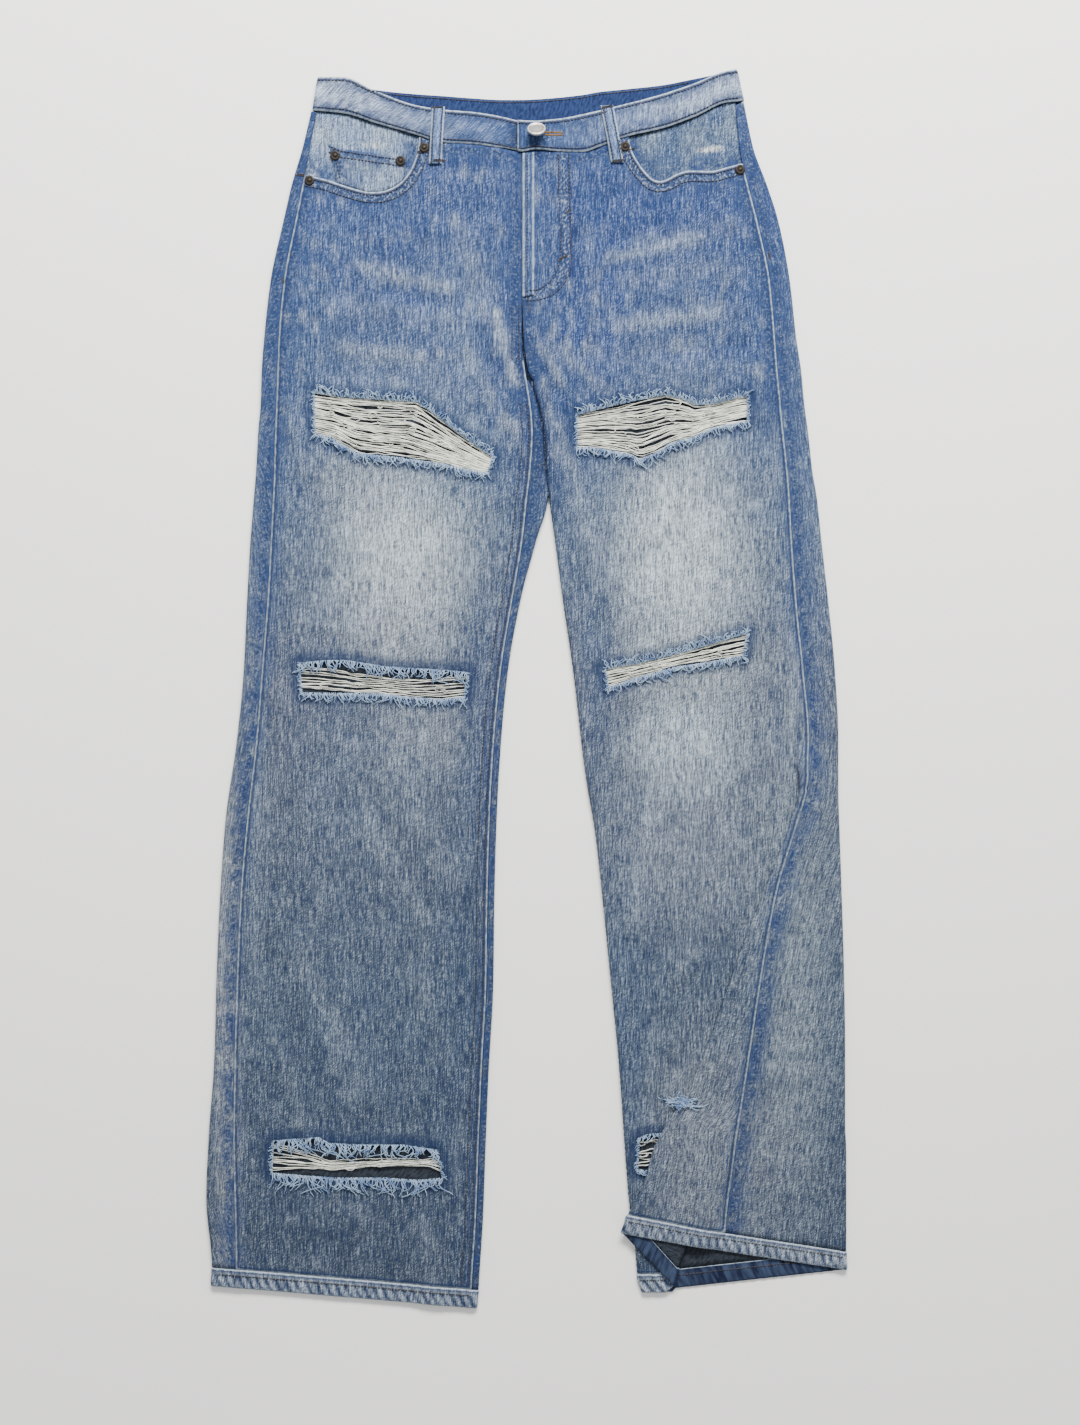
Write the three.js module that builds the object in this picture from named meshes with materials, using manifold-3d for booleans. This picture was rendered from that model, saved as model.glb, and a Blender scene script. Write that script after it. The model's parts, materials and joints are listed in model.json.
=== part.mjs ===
// A pair of ripped straight-leg jeans, laid flat on their back. Millimetres, +X across to the
// wearer's left leg, +Y from the hems to the waist, +Z up off the surface they lie on.
// Each cut piece of cloth is its own closed wall: two fronts, two backs, two yokes, the waistband,
// pockets, loops, hems, and the torn yarns of each rip.
import * as THREE from "three";
import { mergeVertices } from "three/addons/utils/BufferGeometryUtils.js";
import Module from "manifold-3d";

const wasm = await Module();
wasm.setup();

// Driving sizes
const CLOTH = 1.2; // denim wall
const BAND = 2.2; // waistband, four layers pressed together
const HEM = 1.8; // hem, three layers
const SEAM_GAP = 0.3; // between two pieces at a seam
const FINEST = 0.04; // form smaller than this is left out of the meshes
const LOOP = { width: 11, length: 50, thickness: 1.4 };
const RIVET = { radius: 4.2, height: 1.7, nipple: 1.6 };
const BUTTON = { radius: 8.3, height: 3.2, shank: 2.8, rise: 3.9, tilt: 0.62 };
const CENTRE_BACK = -1; // x of the centre back seam
const BACK_LIFT = 1.3; // how far the back cloth rides over its pockets and loops
const FOLD_RADIUS = 1.05; // centre line radius of each crease of the tuck
const TUCK = { start: -76, end: -516, crease: 6, flap: 53, seam: 36, edge: 20 }; // rise of each line at the hem
const HEM_SLANT = 20; // the right leg's hem drops this far from outseam to inseam
const HEM_SLANT_START = -150;

// Right leg and right half of the seat. edge: outline on the outseam side. seam: side seam, which
// lies on top. inner: where the front panel ends. far: the leg's outline on the inseam side.
const RIGHT = [
  { y: 516, edge: -190, seam: -185, inner: -6, far: -6 },
  { y: 474, edge: -200, seam: -193, inner: -6, far: -6 },
  { y: 447, edge: -208, seam: -198, inner: -6, far: -6 },
  { y: 412, edge: -216, seam: -205, inner: -6, far: -6 },
  { y: 360, edge: -227, seam: -215, inner: -6, far: -6 },
  { y: 307, edge: -233, seam: -220, inner: -6, far: -4 },
  { y: 281, edge: -235, seam: -221, inner: -3, far: -1 },
  { y: 250, edge: -236, seam: -222, inner: 2, far: 7.5 },
  { y: 228, edge: -238, seam: -223, inner: 4, far: 12 },
  { y: 192, edge: -240, seam: -224, inner: 2, far: 15 },
  { y: 168, edge: -242, seam: -225, inner: -1, far: 17 },
  { y: 131, edge: -245, seam: -227, inner: -5, far: 7 },
  { y: 78, edge: -248, seam: -230, inner: -14, far: -7 },
  { y: 16, edge: -251, seam: -235, inner: -24, far: -18 },
  { y: -45, edge: -257, seam: -240, inner: -30, far: -24 },
  { y: -116, edge: -267, seam: -248, inner: -34, far: -28 },
  { y: -186, edge: -272, seam: -254, inner: -36, far: -30 },
  { y: -256, edge: -275, seam: -257, inner: -37, far: -31 },
  { y: -327, edge: -277, seam: -259, inner: -41, far: -35 },
  { y: -397, edge: -282, seam: -260, inner: -44, far: -38 },
  { y: -450, edge: -284, seam: -259, inner: -46, far: -40 },
  { y: -494, edge: -280, seam: -258, inner: -49, far: -43 },
  { y: -510, edge: -279, seam: -258, inner: -50, far: -44 },
  { y: -526, edge: -280.5, seam: -259, inner: -51, far: -45 },
];

// Left leg and left half of the seat. far: outline on the inseam side. wrap: how far the front goes
// under to the inseam. crease and flap: the two lines of the tuck. turn: how far the tuck's
// middle layer has turned over, in degrees.
const LEFT = [
  { y: 516, far: -5.7, wrap: 12, crease: 170, flap: 176, seam: 182, edge: 190, turn: 0 },
  { y: 474, far: -5.7, wrap: 12, crease: 174, flap: 180, seam: 186, edge: 199, turn: 0 },
  { y: 447, far: -5.7, wrap: 12, crease: 180, flap: 186, seam: 192, edge: 209, turn: 0 },
  { y: 412, far: -5.7, wrap: 12, crease: 189, flap: 195, seam: 201, edge: 220, turn: 0 },
  { y: 360, far: -5.7, wrap: 12, crease: 200, flap: 206, seam: 212, edge: 230, turn: 0 },
  { y: 307, far: -4, wrap: 12, crease: 205, flap: 211, seam: 217, edge: 236, turn: 0 },
  { y: 281, far: -0.4, wrap: 12, crease: 207, flap: 213, seam: 219, edge: 240, turn: 0 },
  { y: 250, far: 8.5, wrap: 12, crease: 210, flap: 216, seam: 222, edge: 243, turn: 0 },
  { y: 228, far: 13, wrap: 12, crease: 212, flap: 218, seam: 224, edge: 246, turn: 0 },
  { y: 192, far: 16, wrap: 13, crease: 216, flap: 222, seam: 228, edge: 250, turn: 0 },
  { y: 168, far: 18, wrap: 14, crease: 218, flap: 224, seam: 230, edge: 254, turn: 0 },
  { y: 131, far: 23, wrap: 15, crease: 220, flap: 226, seam: 232, edge: 258, turn: 0 },
  { y: 78, far: 30, wrap: 16, crease: 223, flap: 229, seam: 236, edge: 264, turn: 0 },
  { y: 16, far: 39, wrap: 17, crease: 230, flap: 236, seam: 242, edge: 270, turn: 0 },
  { y: -45, far: 46, wrap: 18, crease: 234, flap: 240, seam: 247, edge: 273, turn: 0 },
  { y: -62, far: 48, wrap: 18, crease: 236, flap: 239, seam: 246, edge: 273, turn: 60 },
  { y: -76, far: 50, wrap: 18, crease: 240, flap: 238, seam: 246, edge: 273, turn: 120 },
  { y: -89, far: 52, wrap: 19, crease: 243, flap: 238, seam: 245, edge: 273, turn: 180 },
  { y: -124, far: 58, wrap: 20, crease: 238, flap: 230, seam: 236, edge: 274, turn: 180 },
  { y: -186, far: 65, wrap: 22, crease: 220, flap: 209, seam: 219, edge: 276, turn: 180 },
  { y: -256, far: 72, wrap: 24, crease: 203, flap: 185, seam: 207, edge: 278, turn: 180 },
  { y: -327, far: 79, wrap: 26, crease: 188, flap: 163, seam: 197, edge: 279, turn: 180 },
  { y: -397, far: 84, wrap: 27, crease: 171, flap: 138, seam: 187, edge: 279, turn: 180 },
  { y: -425, far: 86, wrap: 27, crease: 160, flap: 121, seam: 183, edge: 280, turn: 180 },
  { y: -450, far: 88, wrap: 28, crease: 149, flap: 110, seam: 180, edge: 280, turn: 180 },
  { y: -485, far: 93, wrap: 28, crease: 143, flap: 101, seam: 176, edge: 280, turn: 180 },
  { y: -516, far: 95.5, wrap: 28, crease: 132, flap: 87.5, seam: 173.5, edge: 280, turn: 180 },
  { y: -532, far: 99, wrap: 28, crease: 129, flap: 81.5, seam: 174.5, edge: 281, turn: 180 },
];

// Height of the front cloth's middle over the surface, down the garment.
const LOFT = [
  { y: 520, z: 6.9 },
  { y: 470, z: 6.8 },
  { y: 400, z: 6.6 },
  { y: 300, z: 6.2 },
  { y: 200, z: 5.6 },
  { y: 100, z: 4.8 },
  { y: 0, z: 4.5 },
  { y: -400, z: 4.4 },
  { y: -540, z: 3.8 },
];
const SAG = 0.9; // the middle of each leg lies this much lower than its edges
const TUCK_FLOOR = 3.3; // the front under the tuck lies flat at this height

// Soft folds of the fronts: a ridge, or a trough below nought, from (x1, y1) to (x2, y2).
const FOLDS = [
  { x1: -150, y1: -90, x2: -96, y2: -190, wide: 22, high: -1.1 },
  { x1: -118, y1: -70, x2: -62, y2: -165, wide: 24, high: 1.7 },
  { x1: -222, y1: -255, x2: -180, y2: -372, wide: 20, high: -1.0 },
  { x1: -196, y1: -235, x2: -150, y2: -350, wide: 24, high: 1.3 },
  { x1: -92, y1: -470, x2: -84, y2: -520, wide: 13, high: 1.8 },
  { x1: -40, y1: 330, x2: -8, y2: 262, wide: 13, high: 1.5 },
  { x1: -70, y1: 300, x2: -20, y2: 225, wide: 14, high: -0.9 },
  { x1: 24, y1: 300, x2: 70, y2: 262, wide: 15, high: 1.3 },
  { x1: 30, y1: 210, x2: 60, y2: 120, wide: 18, high: 1.3 },
  { x1: -160, y1: 330, x2: -90, y2: 322, wide: 16, high: 1.0 },
  { x1: 90, y1: 345, x2: 170, y2: 362, wide: 16, high: 1.0 },
  { x1: 235, y1: 20, x2: 226, y2: -70, wide: 16, high: 1.6 },
  { x1: 120, y1: -60, x2: 92, y2: -200, wide: 24, high: 1.2 },
  { x1: -60, y1: 150, x2: -75, y2: 60, wide: 20, high: 1.2 },
];

// Waistband lines across the garment: seam and top edge of the front, and of the back inside it.
const WAIST = [
  { x: -190, seam: 508, top: 538, backSeam: 508, backTop: 538 },
  { x: -162, seam: 505.5, top: 537.5, backSeam: 502, backTop: 535.5 },
  { x: -136, seam: 497.5, top: 526, backSeam: 494.5, backTop: 527.5 },
  { x: -98, seam: 486.5, top: 512.5, backSeam: 489.5, backTop: 523.5 },
  { x: -76, seam: 480, top: 509, backSeam: 488, backTop: 522 },
  { x: -50, seam: 478.5, top: 507, backSeam: 486, backTop: 520 },
  { x: -22, seam: 474.5, top: 502.5, backSeam: 485, backTop: 518.5 },
  { x: -6, seam: 471.5, top: 499, backSeam: 485, backTop: 518.5 },
  { x: 6, seam: 473.5, top: 498.5, backSeam: 485, backTop: 519 },
  { x: 26, seam: 472, top: 500.5, backSeam: 486.5, backTop: 520.5 },
  { x: 48, seam: 471.5, top: 505, backSeam: 488.5, backTop: 523 },
  { x: 62, seam: 476, top: 508, backSeam: 491.5, backTop: 525.5 },
  { x: 86, seam: 485, top: 514, backSeam: 494, backTop: 528 },
  { x: 118, seam: 492.5, top: 522.5, backSeam: 498, backTop: 531.5 },
  { x: 146, seam: 502.5, top: 532, backSeam: 504, backTop: 537 },
  { x: 174, seam: 515, top: 543, backSeam: 511, backTop: 542.5 },
  { x: 190, seam: 516.5, top: 545.5, backSeam: 516.5, backTop: 545.5 },
];
const BAND_Z = { back: 2.6, seam: 7.0, top: 5.8 }; // middle heights of the waistband
const LAP = { end: -9.5, under: 24 }; // where the buttoned end stops, and the end below it

const POCKET_MOUTH = {
  right: [[-96, 492], [-96.5, 480], [-98, 470.5], [-104, 455.5], [-113, 444.5], [-125, 438],
    [-139, 436.5], [-152, 439], [-168, 444], [-180, 448], [-202, 452]],
  left: [[88, 492], [88.5, 482], [91, 472.5], [95.5, 464], [102, 455], [109, 448], [116, 446],
    [122.5, 448], [130, 452], [139.5, 455], [151, 455], [163, 455], [174, 458], [190, 462], [205, 465]],
};

// Each rip: its upper and lower cut edges from the outseam to the inseam side as they lie in the
// photograph, left to right, its crossing yarns, and the frayed ends along each edge. A frayed end's
// way is 1 when it lies up towards the waist and -1 when it lies down towards the hem.
const RIPS = [
  {
    name: "thigh_right", side: "right",
    upper: [[-189, 261], [-166, 257.5], [-131, 255], [-98, 253], [-80, 240], [-61, 225], [-43, 212], [-31, 204]],
    lower: [[-188, 224], [-172, 219], [-152, 206.5], [-110, 202], [-76, 197], [-51, 191.5], [-35.5, 189]],
    yarns: 11, up: { count: 10, long: 6, way: 1 }, down: { count: 12, long: 9, way: -1 },
  },
  {
    name: "thigh_left", side: "left",
    upper: [[42.5, 241.5], [69, 248], [94, 254], [120, 259], [135, 255.5], [146.5, 250], [162.5, 251], [187, 257.5], [193, 257.5]],
    lower: [[42.5, 211.5], [52.5, 212], [72.5, 208.5], [89, 205.5], [98, 201], [113, 207], [126, 215], [144, 220.5], [159, 227.5], [182, 233], [193, 235]],
    yarns: 10, up: { count: 10, long: 6, way: 1 }, down: { count: 12, long: 8, way: -1 },
  },
  {
    name: "knee_right", side: "right",
    upper: [[-202, 21.5], [-178, 24], [-160.5, 24], [-123.5, 18], [-93.5, 16.5], [-63, 14.5], [-53, 13]],
    lower: [[-200, -4.5], [-154, -5], [-130, -5], [-108.5, -8], [-78.5, -10], [-57, -8]],
    yarns: 5, up: { count: 11, long: 12, way: -1 }, down: { count: 11, long: 9, way: -1 },
  },
  {
    name: "knee_left", side: "left",
    upper: [[67, 18], [80.5, 20.5], [95.5, 22.5], [137.5, 33], [169.5, 42.5], [193, 49.5]],
    lower: [[70, 0.5], [95.5, 9], [128, 18], [158, 22.5], [189.5, 28.5]],
    yarns: 5, up: { count: 9, long: 7, way: 1 }, down: { count: 10, long: 8, way: -1 },
  },
  {
    name: "shin_right", side: "right",
    upper: [[-225, -399], [-202, -397], [-184, -396], [-178, -401], [-148.5, -402.5], [-111.5, -402.5], [-80.5, -407]],
    lower: [[-226.5, -427], [-192.5, -430], [-168.5, -431.5], [-126.5, -431.5], [-96.5, -433.5], [-75, -431.5]],
    yarns: 5, up: { count: 12, long: 13, way: -1 }, down: { count: 12, long: 14, way: -1 },
  },
  {
    name: "shin_left", side: "left", below: 4.4,
    upper: [[97, -396.5], [102, -394.5], [107, -393], [130, -391.5]],
    lower: [[95.5, -424], [101, -424.8], [107, -425.5], [130, -427]],
    yarns: 3, up: { count: 3, long: 7, way: -1, part: 3 },
  },
];

// Small helpers
const mix = (a, b, t) => a + (b - a) * t;
const clamp01 = (t) => Math.min(1, Math.max(0, t));
const smooth = (a, b, x) => {
  const t = clamp01((x - a) / (b - a));
  return t * t * (3 - 2 * t);
};
const scatter = (n) => {
  const s = Math.sin(n * 12.9898) * 43758.5453;
  return s - Math.floor(s);
};

// A smooth curve through one column of a table, read at a value of its key column.
function read(table, key, column, at) {
  const rising = table[0][key] < table[table.length - 1][key];
  const rows = rising ? table : [...table].reverse();
  const last = rows.length - 1;
  const x = Math.min(rows[last][key], Math.max(rows[0][key], at));
  let i = 0;
  while (i < last - 1 && x > rows[i + 1][key]) i++;
  const [x0, x1] = [rows[i][key], rows[i + 1][key]];
  const [y0, y1] = [rows[i][column], rows[i + 1][column]];
  const slope = (y1 - y0) / (x1 - x0);
  const before = i > 0 ? (y0 - rows[i - 1][column]) / (x0 - rows[i - 1][key]) : slope;
  const after = i + 2 <= last ? (rows[i + 2][column] - y1) / (rows[i + 2][key] - x1) : slope;
  const calm = (a, b) => (a * b <= 0 ? 0 : (2 * a * b) / (a + b));
  const [m0, m1] = [calm(before, slope), calm(slope, after)];
  const t = (x - x0) / (x1 - x0);
  const h = x1 - x0;
  return (
    y0 * (2 * t ** 3 - 3 * t * t + 1) + m0 * h * (t ** 3 - 2 * t * t + t) +
    y1 * (3 * t * t - 2 * t ** 3) + m1 * h * (t ** 3 - t * t)
  );
}
const right = (column, y) => read(RIGHT, "y", column, y);
const left = (column, y) => read(LEFT, "y", column, y);
const waist = (column, x) => read(WAIST, "x", column, x);

// Solids
function toSolid(geometry) {
  const bare = new THREE.BufferGeometry();
  const source = geometry.index ? geometry.toNonIndexed() : geometry;
  bare.setAttribute("position", source.getAttribute("position"));
  const merged = mergeVertices(bare, 1e-4);
  return new wasm.Manifold(new wasm.Mesh({
    numProp: 3,
    vertProperties: merged.attributes.position.array,
    triVerts: new Uint32Array(merged.index.array),
  }));
}

function fromPoints(points, triangles) {
  const made = new wasm.Manifold(new wasm.Mesh({
    numProp: 3,
    vertProperties: new Float32Array(points.flat()),
    triVerts: new Uint32Array(triangles.flat()),
  }));
  if (made.volume() > 0) return made;
  return new wasm.Manifold(new wasm.Mesh({
    numProp: 3,
    vertProperties: new Float32Array(points.flat()),
    triVerts: new Uint32Array(triangles.map(([a, b, c]) => [a, c, b]).flat()),
  }));
}

// A closed wall on a grid of middle points, each { p, n }, thickened along n to both sides.
function wall(rows, thickness, ring = false) {
  const high = rows.length;
  const wide = rows[0].length;
  const side = (sign) => rows.flatMap((row) =>
    row.map(({ p, n }) => p.map((v, k) => v + (sign * thickness * n[k]) / 2)));
  const points = [...side(1), ...side(-1)];
  const triangles = [];
  const quad = (a, b, c, d) => triangles.push([a, b, c], [a, c, d]);
  const out = (i, j) => i * wide + (j % wide);
  const back = (i, j) => high * wide + out(i, j);
  const across = ring ? wide : wide - 1;
  for (let i = 0; i < high - 1; i++) {
    for (let j = 0; j < across; j++) {
      quad(out(i, j), out(i, j + 1), out(i + 1, j + 1), out(i + 1, j));
      quad(back(i, j), back(i + 1, j), back(i + 1, j + 1), back(i, j + 1));
    }
    if (ring) continue;
    quad(out(i, 0), out(i + 1, 0), back(i + 1, 0), back(i, 0));
    quad(out(i, wide - 1), back(i, wide - 1), back(i + 1, wide - 1), out(i + 1, wide - 1));
  }
  for (let j = 0; j < across; j++) {
    quad(out(0, j), back(0, j), back(0, j + 1), out(0, j + 1));
    quad(out(high - 1, j), out(high - 1, j + 1), back(high - 1, j + 1), back(high - 1, j));
  }
  return fromPoints(points, triangles);
}

function prism(outline, low, high) {
  const shape = new THREE.Shape(outline.map(([x, y]) => new THREE.Vector2(x, y)));
  const geometry = new THREE.ExtrudeGeometry(shape, { depth: high - low, bevelEnabled: false });
  return toSolid(geometry.translate(0, 0, low));
}

function curve(points, count) {
  const spline = new THREE.SplineCurve(points.map(([x, y]) => new THREE.Vector2(x, y)));
  return spline.getPoints(count).map((v) => [v.x, v.y]);
}

// Height of the front cloth's middle at (x, y), on the right or the left side.
function folds(x, y) {
  return FOLDS.reduce((sum, f) => {
    const [dx, dy] = [f.x2 - f.x1, f.y2 - f.y1];
    const t = clamp01(((x - f.x1) * dx + (y - f.y1) * dy) / (dx * dx + dy * dy));
    const away = Math.hypot(x - f.x1 - dx * t, y - f.y1 - dy * t) / f.wide;
    return sum + f.high * Math.exp(-away * away);
  }, 0);
}

function frontZ(side, x, y) {
  const [a, b] = side === "right"
    ? [right("edge", y), right("far", y)]
    : [left("far", y), left("edge", y)];
  const t = clamp01((x - a) / (b - a));
  const still = smooth(0, 0.12, t) * smooth(1, 0.88, t); // the folds die out at the edges
  return read(LOFT, "y", "z", y) - SAG * 4 * t * (1 - t) + folds(x, y) * still;
}
const sideOf = (x) => (x < -5.85 ? "right" : "left");

// Lift of the back cloth over what lies under it.
function backLift(x, y) {
  const byPocket = smooth(200, 225, y) * smooth(455, 430, y) *
    smooth(2, 16, Math.abs(x)) * smooth(222, 200, Math.abs(x));
  return BACK_LIFT * Math.max(smooth(425, 455, y), byPocket);
}

const UP = [0, 0, 1];
const DOWN = [0, 0, -1];

// The rows at which the cloth is worked out, from the waist down.
const SEAT_ROWS = [516, 470, 430, 390, 350, 310, 281];
const CROTCH = 270; // rows below this go round to the inseam
const LEG_ROWS = {
  right: [262, 240, 210, 168, 131, 95, 60, 25, -10, -45, -80, -120, -155, -190, -230, -275, -320, -360,
    -397, -425, -455, -485],
  left: [262, 240, 210, 168, 131, 95, 60, 25, -10, -45, -62, -76, -89, -124, -186, -256, -327, -397, -425,
    -450, -485],
};

// Rows tilt towards the hems. These give the real y of a point on the row named y.
const rightDrop = (y) => HEM_SLANT * clamp01((HEM_SLANT_START - y) / (HEM_SLANT_START + 510));
const onRight = (x, y) => {
  const t = clamp01((x - right("edge", y)) / (right("far", y) - right("edge", y)));
  return y - rightDrop(y) * t;
};
const tuckPart = (y) => clamp01((TUCK.start - y) / (TUCK.start - TUCK.end));

// The row on which one of the tuck's lines passes a real y, and where that line is there.
function rowAt(y, rise) {
  if (y >= TUCK.start) return y;
  const share = rise / (TUCK.start - TUCK.end);
  return (y - share * TUCK.start) / (1 - share);
}
const creaseAt = (y) => left("crease", rowAt(y, TUCK.crease));
const flapAt = (y) => left("flap", rowAt(y, TUCK.flap));

// The left front's lower layer lies flat where the tuck is on top of it.
function lowerZ(x, y) {
  const under = smooth(flapAt(y) - 30, flapAt(y) - 8, x) * smooth(-45, -80, y);
  return mix(frontZ("left", x, y), TUCK_FLOOR, under);
}

// A half circle of cloth round an outline at x, from one height to another.
function turnPoints(x, y, from, to, way, steps, cloth) {
  const radius = Math.abs(to - from) / 2;
  const centre = x - way * (radius + cloth / 2);
  const points = [];
  for (let k = 1; k < steps; k++) {
    const angle = (Math.PI * k) / steps;
    const up = Math.sign(to - from);
    const n = [way * Math.sin(angle), 0, -up * Math.cos(angle)];
    points.push({ p: [centre + n[0] * radius, y, (from + to) / 2 + n[2] * radius], n });
  }
  return points;
}

function flatRun(x1, x2, steps, place, n) {
  return Array.from({ length: steps + 1 }, (_, k) => {
    const x = mix(x1, x2, k / steps);
    return { p: place(x), n };
  });
}

// Fronts
function rightFrontRow(y, cloth, zAt) {
  const [a, b] = [right("seam", y) + SEAM_GAP, right("inner", y) - SEAM_GAP];
  return flatRun(a, b, 12, (x) => [x, onRight(x, y), zAt(x, y)], UP);
}

// The tuck: from the crease on the lower layer, back to the flap's edge, and on to the top layer.
function tuckPoints(row) {
  const [crease, flap] = [left("crease", row), left("flap", row)];
  const low = lowerZ(crease - 3, row);
  const turn = (Math.round(left("turn", row) / 60) * Math.PI) / 3;
  const s = tuckPart(row);
  const yAt = (t) => row + s * mix(TUCK.crease, TUCK.flap, t);
  const steps = 8;
  if (turn === 0) {
    return Array.from({ length: steps + 1 }, (_, k) => {
      const x = mix(crease, flap, k / steps);
      return { p: [x, row, frontZ("left", x, row)], n: UP };
    });
  }
  const r = FOLD_RADIUS;
  const flatPart = turn > 3 ? crease - flap - 2 * r : 2;
  const start = turn > 3 ? crease - r : crease - 2;
  const points = [];
  const corner = [start, low + r];
  for (let k = 0; k <= 3; k++) {
    const a = (turn * k) / 3;
    const n = [-Math.sin(a), 0, Math.cos(a)];
    points.push({ p: [corner[0] - n[0] * r, yAt(0), corner[1] - n[2] * r], n });
  }
  const last = points[3].p;
  const far = [last[0] + Math.cos(turn) * flatPart, last[2] + Math.sin(turn) * flatPart];
  const mid = points[3].n;
  points.push({ p: [mix(last[0], far[0], 0.5), yAt(0.5), mix(last[2], far[1], 0.5)], n: mid });
  const second = [far[0] + mid[0] * -r, far[1] + mid[2] * -r];
  for (let k = 0; k <= 3; k++) {
    const a = turn * (1 - k / 3);
    const n = [-Math.sin(a), 0, Math.cos(a)];
    points.push({ p: [second[0] + n[0] * r, yAt(1), second[1] + n[2] * r], n });
  }
  return points;
}

// Height of the top layer from the flap to the outseam edge, where it comes down off the tuck.
function topLayerZ(x, y, row) {
  if (left("turn", row) < 30) return frontZ("left", x, y);
  const crease = creaseAt(y);
  const high = tuckPoints(row).at(-1).p[2];
  const down = smooth(crease + 8, Math.min(crease + 30, left("edge", row) - 4), x);
  return mix(high, frontZ("left", x, y), down);
}

function leftFrontRow(y, cloth, floor) {
  const s = tuckPart(y);
  const [far, wrap] = [left("far", y), left("wrap", y)];
  const edgeZ = lowerZ(far + 3, y);
  const radius = (edgeZ - floor) / 2;
  const lip = far + radius + cloth / 2;
  const run = lip + 20;
  const round = y > CROTCH
    ? flatRun(far, run, 6, (x) => [x, y, lowerZ(x, y)], UP)
    : [
      { p: [far + wrap - SEAM_GAP, y, floor], n: DOWN },
      { p: [lip, y, floor], n: DOWN },
      ...[2, 1].map((k) => {
        const a = (Math.PI * k) / 3;
        return { p: [lip - Math.sin(a) * radius, y, floor + radius + Math.cos(a) * radius], n: [-Math.sin(a), 0, Math.cos(a)] };
      }),
      ...flatRun(lip, run, 2, (x) => [x, y, mix(edgeZ, lowerZ(x, y), smooth(lip, run, x))], UP),
    ];
  const tuck = tuckPoints(y);
  const first = tuck[0].p[0];
  const lower = flatRun(run, first, 7, (x) => {
    const t = (x - run) / (first - run);
    return [x, y + s * TUCK.crease * t, lowerZ(x, y + s * TUCK.crease * t)];
  }, UP).slice(1, -1);
  const last = tuck.at(-1).p;
  const seam = Math.max(left("seam", y) - SEAM_GAP, last[0] + 2);
  const upper = flatRun(last[0], seam, 4, (x) => {
    const t = clamp01((x - last[0]) / (seam - last[0]));
    const at = y + s * mix(TUCK.flap, TUCK.seam, t);
    return [x, at, topLayerZ(x, at, y)];
  }, UP).slice(1);
  return [...round, ...lower, ...tuck, ...upper];
}

// Backs, from the inseam or centre back round under the leg to the side seam
function leftBackRow(y, cloth, floor) {
  const s = tuckPart(y);
  const [far, edge] = [left("far", y), left("edge", y)];
  const seam = Math.max(left("seam", y), left("turn", y) > 90 ? left("flap", y) + 4 : far);
  const yTop = (x) => y + s * mix(TUCK.seam, TUCK.edge, clamp01((x - seam) / (edge - seam)));
  const yLow = (x) => y + s * TUCK.edge * clamp01((x - far) / (edge - far));
  const topZ = (x) => topLayerZ(x, yTop(x), y);
  const low = (x) => floor + (cloth === CLOTH ? backLift(x, y) : 0);
  const edgeZ = topZ(edge - 3);
  const radius = (edgeZ - low(edge)) / 2;
  const lip = edge - radius - cloth / 2;
  const inner = y > CROTCH ? CENTRE_BACK + SEAM_GAP / 2 : far + left("wrap", y);
  return [
    ...flatRun(seam, lip, 3, (x) => [x, yTop(x), mix(topZ(x), edgeZ, smooth(lip - 6, lip, x))], UP),
    ...turnPoints(edge, yTop(edge), edgeZ, low(edge), 1, 3, cloth),
    ...flatRun(lip, inner, 7, (x) => [x, yLow(x), low(x)], DOWN),
  ];
}

function rightBackRow(y, cloth, floor, zAt) {
  const low = (x) => floor + (cloth === CLOTH ? backLift(x, y) : 0);
  const [edge, seam] = [right("edge", y), right("seam", y)];
  const [inner, far] = [right("inner", y), right("far", y)];
  const farZ = zAt(far - 3, y);
  const radius = (farZ - floor) / 2;
  const lip = far - radius - cloth / 2;
  const run = 20;
  const round = y > CROTCH
    ? flatRun(CENTRE_BACK - SEAM_GAP / 2, lip - run, 5, (x) => [x, y, low(x)], DOWN)
    : [
      { p: [Math.min(inner, lip - 0.6), onRight(inner, y), zAt(inner, y)], n: UP },
      { p: [lip, onRight(lip, y), farZ], n: UP },
      ...[2, 1].map((k) => {
        const a = (Math.PI * k) / 3;
        return {
          p: [lip + Math.sin(a) * radius, onRight(far, y), floor + radius - Math.cos(a) * radius],
          n: [Math.sin(a), 0, -Math.cos(a)],
        };
      }),
      ...flatRun(lip, lip - run, 1, (x) => [x, onRight(x, y), low(x)], DOWN),
    ];
  const edgeZ = zAt(edge + 3, y);
  const outRadius = (edgeZ - low(edge)) / 2;
  const outLip = edge + outRadius + cloth / 2;
  const lastX = Math.max(seam, outLip + 0.6);
  return [
    ...round,
    ...flatRun(lip - run, outLip, 6, (x) => [x, onRight(x, y), low(x)], DOWN).slice(1),
    ...turnPoints(edge, onRight(edge, y), low(edge), edgeZ, -1, 3, cloth),
    ...flatRun(outLip, lastX, 2, (x) => [x, onRight(x, y), mix(edgeZ, zAt(x, y), smooth(outLip, lastX, x))], UP),
  ];
}

const zRight = (x, y) => frontZ("right", x, y);
const HALF = CLOTH / 2;
const BIG = 700;

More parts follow.
